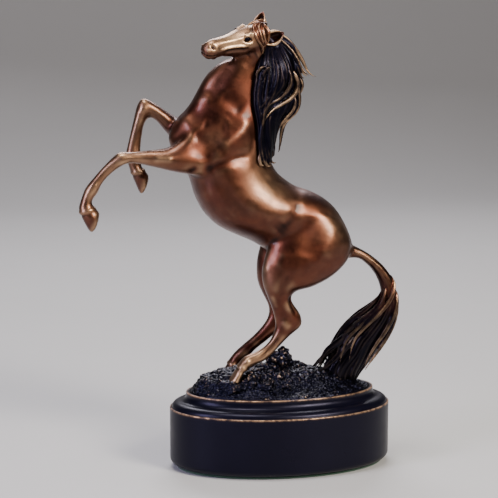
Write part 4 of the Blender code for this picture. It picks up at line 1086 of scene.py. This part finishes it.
# Rocks: middle, half sizes, tilt round Y and Z in degrees.
ROCKS = [
    ((-33, -15, 4.5), (13, 9, 6), (0, 10)), ((-22, -17, 8), (9, 7, 5.5), (-20, 40)),
    ((-38, 5, 5), (12, 12, 6.5), (15, 0)), ((-24, 12, 4), (12, 9, 5.5), (0, 30)),
    ((-12, -3, 8), (11, 12, 7.5), (-15, 10)), ((-18, 0, 9.5), (7, 7, 5), (20, 50)),
    ((-3, -12, 6.5), (9, 8, 7), (10, 20)), ((-2, 8, 7.5), (9, 9, 7), (-10, 60)),
    ((8, -10, 5.5), (8, 7, 5.5), (15, 0)), ((15, -3, 4.5), (8, 9, 6), (-20, 30)),
    ((10, 10, 3.5), (9, 8, 5), (0, 15)), ((23, -8, 2), (8, 6, 4), (10, 40)),
    ((26, 8, 1.5), (8, 7, 3.5), (0, 70)), ((-46, -6, 2), (8, 9, 4), (0, 20)),
    ((0.8, -1, 19), (5.2, 5, 8.5), (12, 25)), ((4.8, 1, 14), (5.5, 5.5, 7.5), (-18, 70)),
    ((-4.5, 0, 17.5), (5.5, 5.5, 6), (25, 10)), ((10, -2, 11), (6, 5.5, 5.5), (-25, 35)),
    ((-14, -20, 4), (7, 5, 4.5), (0, 15)), ((0, -20, 2.5), (6, 5, 3.5), (20, 60)),
    ((14, -18, 1.8), (5, 4, 3), (10, 30)), ((-44, 14, 2), (7, 6, 3.5), (0, 50)),
    ((-8, 20, 2), (8, 5, 3.5), (0, 10)),
]
MOUND_CENTRE = (-9.0, -1.0)
MOUND_REACH = (49.0, 20.0)
MOUND_HEIGHT = 17.0


def mound(x, y):
    dx = (x - MOUND_CENTRE[0]) / MOUND_REACH[0]
    dy = (y - MOUND_CENTRE[1]) / MOUND_REACH[1]
    return MOUND_HEIGHT * math.exp(-((dx**2 + dy**2) ** 2))


def ellipse(half_length, half_width, level, sides):
    return [Vector((half_length * math.cos(a), half_width * math.sin(a), level)) for a in circle(sides)]


def rock(bm, centre, halves, tilt, seed):
    """A lump with broken, flat faces: a sphere cut by random planes."""
    draw = random.Random(seed)
    cuts = []
    for _ in range(16):
        normal = Vector([draw.gauss(0, 1) for _ in range(3)]).normalized()
        cuts.append((normal, draw.uniform(0.62, 0.92)))
    stone = bmesh.new()
    bmesh.ops.create_icosphere(stone, subdivisions=4, radius=1.0)
    for v in stone.verts:
        for normal, reach in cuts:
            over = v.co.dot(normal) - reach
            if over > 0:
                v.co -= normal * over
    turn = Matrix.Rotation(math.radians(tilt[1]), 4, "Z") @ Matrix.Rotation(math.radians(tilt[0]), 4, "Y")
    stone.transform(Matrix.Translation(centre) @ turn @ Matrix.Diagonal((*halves, 1.0)))
    rows = {v: bm.verts.new(v.co) for v in stone.verts}
    for f in stone.faces:
        bm.faces.new([rows[v] for v in f.verts])
    stone.free()


def cell_bumps(points, size, seed):
    """Rounded grains, one in each cell of a jittered grid: 1 on a grain's top, 0 between grains."""
    place = points / size
    base = np.floor(place).astype(np.int64)
    nearest = np.full(len(points), 9.0)
    second = np.full(len(points), 9.0)
    for corner in np.ndindex(3, 3, 3):
        cell = base + (np.array(corner) - 1)
        key = cell_keys(cell, seed)
        spot = []
        for k in range(3):
            hashed = ((key ^ (key >> 15)) * (2246822519 + 2 * k * 374761393)) & 0xFFFFFFFF
            spot.append(((hashed >> 8) & 0xFFFF) / 0xFFFF)
        d = np.linalg.norm(cell + np.array(spot).T - place, axis=1)
        closer = d < nearest
        second = np.where(closer, nearest, np.minimum(second, d))
        nearest = np.where(closer, d, nearest)
    return np.clip((second - nearest) * 2.2, 0, 1)


def ground_radius(points):
    """0 in the middle of the ground and 1 at its edge."""
    return np.hypot(points[:, 0] / GROUND_HALF[0], points[:, 1] / GROUND_HALF[1])


def build_ground():
    bm = bmesh.new()
    rings, sides = 40, 160
    loops = [ellipse(*GROUND_HALF, GROUND_BOTTOM, sides)]
    for ring in range(rings, 0, -1):
        share = ring / rings
        edge = min(1.0, (1 - share) * 9)
        loop = ellipse(GROUND_HALF[0] * share, GROUND_HALF[1] * share, 0, sides)
        for p in loop:
            p.z = -1.4 + edge * (1.2 + mound(p.x, p.y) * 0.82)
        loops.append(loop)
    skin(bm, loops)
    for number, (centre, halves, tilt) in enumerate(ROCKS):
        rock(bm, centre, halves, tilt, 40 + number)
    ground = remeshed("ground_gravel", bm, GROUND_VOXEL)
    shape = Shape(ground)
    shape.smooth(2, 0.5)
    # Gravel: fine grains and coarse lumps, the grains weaker and the lumps stronger high on the mound.
    z = shape.points[:, 2]
    top = np.clip((z + 2.2) / 1.2, 0, 1) * np.clip((1.0 - ground_radius(shape.points)) * 60, 0.15, 1)
    high = np.clip((z - 4) / 6, 0, 1)
    lumps = value_noise(shape.points, 4.5, 21) * 0.7
    grains = cell_bumps(shape.points, 2.0, 5)
    coarse = cell_bumps(shape.points, 4.2, 6)
    move = top * (grains * 0.85 * (1 - 0.45 * high) + coarse * (0.5 + 0.6 * high) + lumps - 0.55)
    shape.points += shape.normals() * move[:, None]
    shape.smooth(1, 0.35)
    # Nothing of the ground may reach below the recess or past its wall.
    shape.points[:, 2] = np.maximum(shape.points[:, 2], GROUND_BOTTOM)
    shape.points[:, :2] /= np.maximum(ground_radius(shape.points), 1.0)[:, None]
    relief = shape.relief(8)
    sparse = np.clip(value_noise(shape.points, 5.0, 31) * 2.4 - 0.8, 0, 1)
    sparse = np.clip(sparse + high * 0.35, 0, 1)
    shape.attribute("wear_and_painted_highlight", (relief - 0.2) * 4.0 * sparse)
    shape.attribute("hollows_and_painted_shade", (-relief - 0.03) * 3.0)
    finish_piece(ground, EARTH, ("ground_casting",))


# ---------------------------------------------------------------- plinth


def arc(start, end, steps, convex):
    """Points of a quarter ellipse between two (inset, level) points."""
    out = []
    for i in range(1, steps + 1):
        angle = math.pi / 2 * i / steps
        a, b = (1 - math.cos(angle), math.sin(angle)) if convex else (math.sin(angle), 1 - math.cos(angle))
        out.append((start[0] + (end[0] - start[0]) * a, start[1] + (end[1] - start[1]) * b))
    return out


def plinth_profile():
    """(inset, level, wear) from the underside's rim, up the outside and down into the recess."""
    bottom = FELT_TOP + GAP
    foot = 4.6
    shoulder = (0.62 * MOULDING_INSET, RIM + 0.4 * MOULDING_HEIGHT)
    neck = MOULDING_INSET - 0.5
    lip = MOULDING_INSET + LIP
    rows = [(foot, bottom, 0.0)]
    rows += [(*p, 0.0) for p in arc((foot, bottom), (0, bottom + foot), 12, False)]
    rows += [(0, bottom + foot + (RIM - bottom - foot) * i / 10, 0.0) for i in range(1, 10)]
    rows += [(0, RIM - 1.6, 0.0), (0, RIM - 0.9, 0.1), (0, RIM - 0.45, 0.7), (0.13, RIM - 0.13, 1.0)]
    rows += [(0.45, RIM, 0.8), (0.95, RIM + 0.02, 0.1), (1.3, RIM + 0.05, 0.0)]
    rows += [(*p, 0.0) for p in arc((1.3, RIM + 0.05), (shoulder[0] - 0.3, shoulder[1] - 0.1), 10, True)]
    rows += [(*p, 0.0) for p in arc(shoulder, (neck, PLATE_TOP - 1.6), 12, False)]
    rows += [(neck, PLATE_TOP - 0.8, 0.1), (neck, PLATE_TOP - 0.4, 0.7)]
    rows += [(MOULDING_INSET - 0.35, PLATE_TOP - 0.12, 1.0), (MOULDING_INSET, PLATE_TOP, 0.8)]
    rows += [(MOULDING_INSET + 0.7, PLATE_TOP, 0.1), (lip - 0.3, PLATE_TOP, 0.0)]
    rows += [(lip, PLATE_TOP - 0.3, 0.0), (lip, RECESS, 0.0)]
    return rows


def turned(name, rows, sides):
    """An oval turned piece from rows of (inset from the plinth's outline, level above the underside)."""
    bm = bmesh.new()
    length, width = PLINTH_HALF
    skin(bm, [ellipse(length - inset, width - inset, level - DATUM, sides) for inset, level, *_ in rows])
    return to_object(name, bm)


def build_plinth():
    sides = 240
    rows = plinth_profile()
    plinth = turned("turned_plinth", rows, sides)
    shape = Shape(plinth)
    wear = np.repeat([w for _, _, w in rows], sides)
    shape.attribute("wear_and_painted_highlight", wear * (0.8 + 0.25 * value_noise(shape.points, 3.0, 8)))
    finish_piece(plinth, LACQUER, ("plinth",))


def build_felt():
    rows = [(4.6, 0.0), (4.15, 0.25), (4.0, 0.7), (4.0, 1.1), (4.3, FELT_TOP)]
    finish_piece(turned("felt_under_plinth", rows, 160), FELT, ("felt_pad",))


build_horse()
build_eye("near_eye", 1)
build_eye("far_eye", -1)
build_ear("near_ear", (-10.4, 9.5, 4.6), (-0.86, 0.23, 0.45), (0.67, 0.62, 0.58), 0.2, 5.0)
build_ear("far_ear", (-2.6, -7.0, 13.9), (-0.55, -0.23, 0.80), (0.83, 0.36, 0.32), -0.3, 4.4)
build_forelock()
build_mane()
build_tail()
build_ground()
build_plinth()
build_felt()

METALS = (("screw", STEEL), ("washer", STEEL), ("insert", BRASS), ("pin", STEEL), ("dowel", STEEL))
for node_name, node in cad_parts.items():
    for word, metal in METALS:
        if word in node_name:
            node.data.materials.clear()
            node.data.materials.append(metal)


# ---------------------------------------------------------------- floor, light and camera


def build_floor():
    """A pale floor that runs up into a wall behind the statuette."""
    material, tree, shader = nodes_of("pale_floor")
    tone = mix(tree, noise(tree, 6.0, 3.0), (0.44, 0.435, 0.43), (0.47, 0.465, 0.46))
    tree.links.new(tone, shader.inputs["Base Color"])
    shader.inputs["Roughness"].default_value = 0.6
    reach, start, bend = 8.0, 1.2, 0.9
    profile = [(-reach, 0.0)]
    for angle in np.linspace(0, math.pi / 2, 24):
        profile.append((start + bend * math.sin(angle), bend - bend * math.cos(angle)))
    profile += [(2.1, 2.6)]
    points = [(x, y, z) for y, z in profile for x in (-reach, reach)]
    faces = [(2 * i, 2 * i + 1, 2 * i + 3, 2 * i + 2) for i in range(len(profile) - 1)]
    mesh = bpy.data.meshes.new("floor")
    mesh.from_pydata(points, [], faces)
    mesh.materials.append(material)
    mesh.shade_smooth()
    floor = in_scene("floor", mesh)


def build_light(name, place, target, size, power, colour):
    light = bpy.data.lights.new(name, "AREA")
    light.shape = "RECTANGLE"
    light.size, light.size_y = size
    light.energy = power
    light.color = colour
    made = in_scene(name, light)
    made.location = place
    made.rotation_euler = (Vector(target) - Vector(place)).to_track_quat("-Z", "Y").to_euler()


def build_camera():
    yaw, pitch = math.radians(-11.986), math.radians(9.125)
    facing = Vector((-math.sin(yaw) * math.cos(pitch), math.cos(yaw) * math.cos(pitch), -math.sin(pitch)))
    camera = bpy.data.cameras.new("camera")
    camera.lens = 129.61
    made = in_scene("camera", camera)
    made.location = (-0.251446, -1.089132, 0.317694)
    made.rotation_euler = facing.to_track_quat("-Z", "Y").to_euler()
    bpy.context.scene.camera = made


build_floor()
build_light("key", (0.60, -0.95, 0.85), (0, 0, 0.17), (0.40, 0.50), 27.0, (1.0, 0.93, 0.82))
build_light("left", (-1.05, -0.45, 0.55), (0, 0, 0.17), (0.30, 0.80), 13.0, (0.76, 0.72, 1.0))
build_light("back", (0.15, 1.0, 1.0), (0, 0, 0.17), (0.9, 0.5), 15.0, (0.95, 0.93, 1.0))
build_light("top", (-0.25, -0.15, 1.35), (0, 0, 0.2), (0.5, 0.4), 11.0, (1.0, 0.97, 0.92))

world = bpy.data.worlds.new("studio")
world.use_nodes = True
background = world.node_tree.nodes["Background"]
background.inputs["Color"].default_value = (0.30, 0.29, 0.33, 1.0)
background.inputs["Strength"].default_value = 0.22
bpy.context.scene.world = world
build_camera()

bpy.context.view_layer.update()
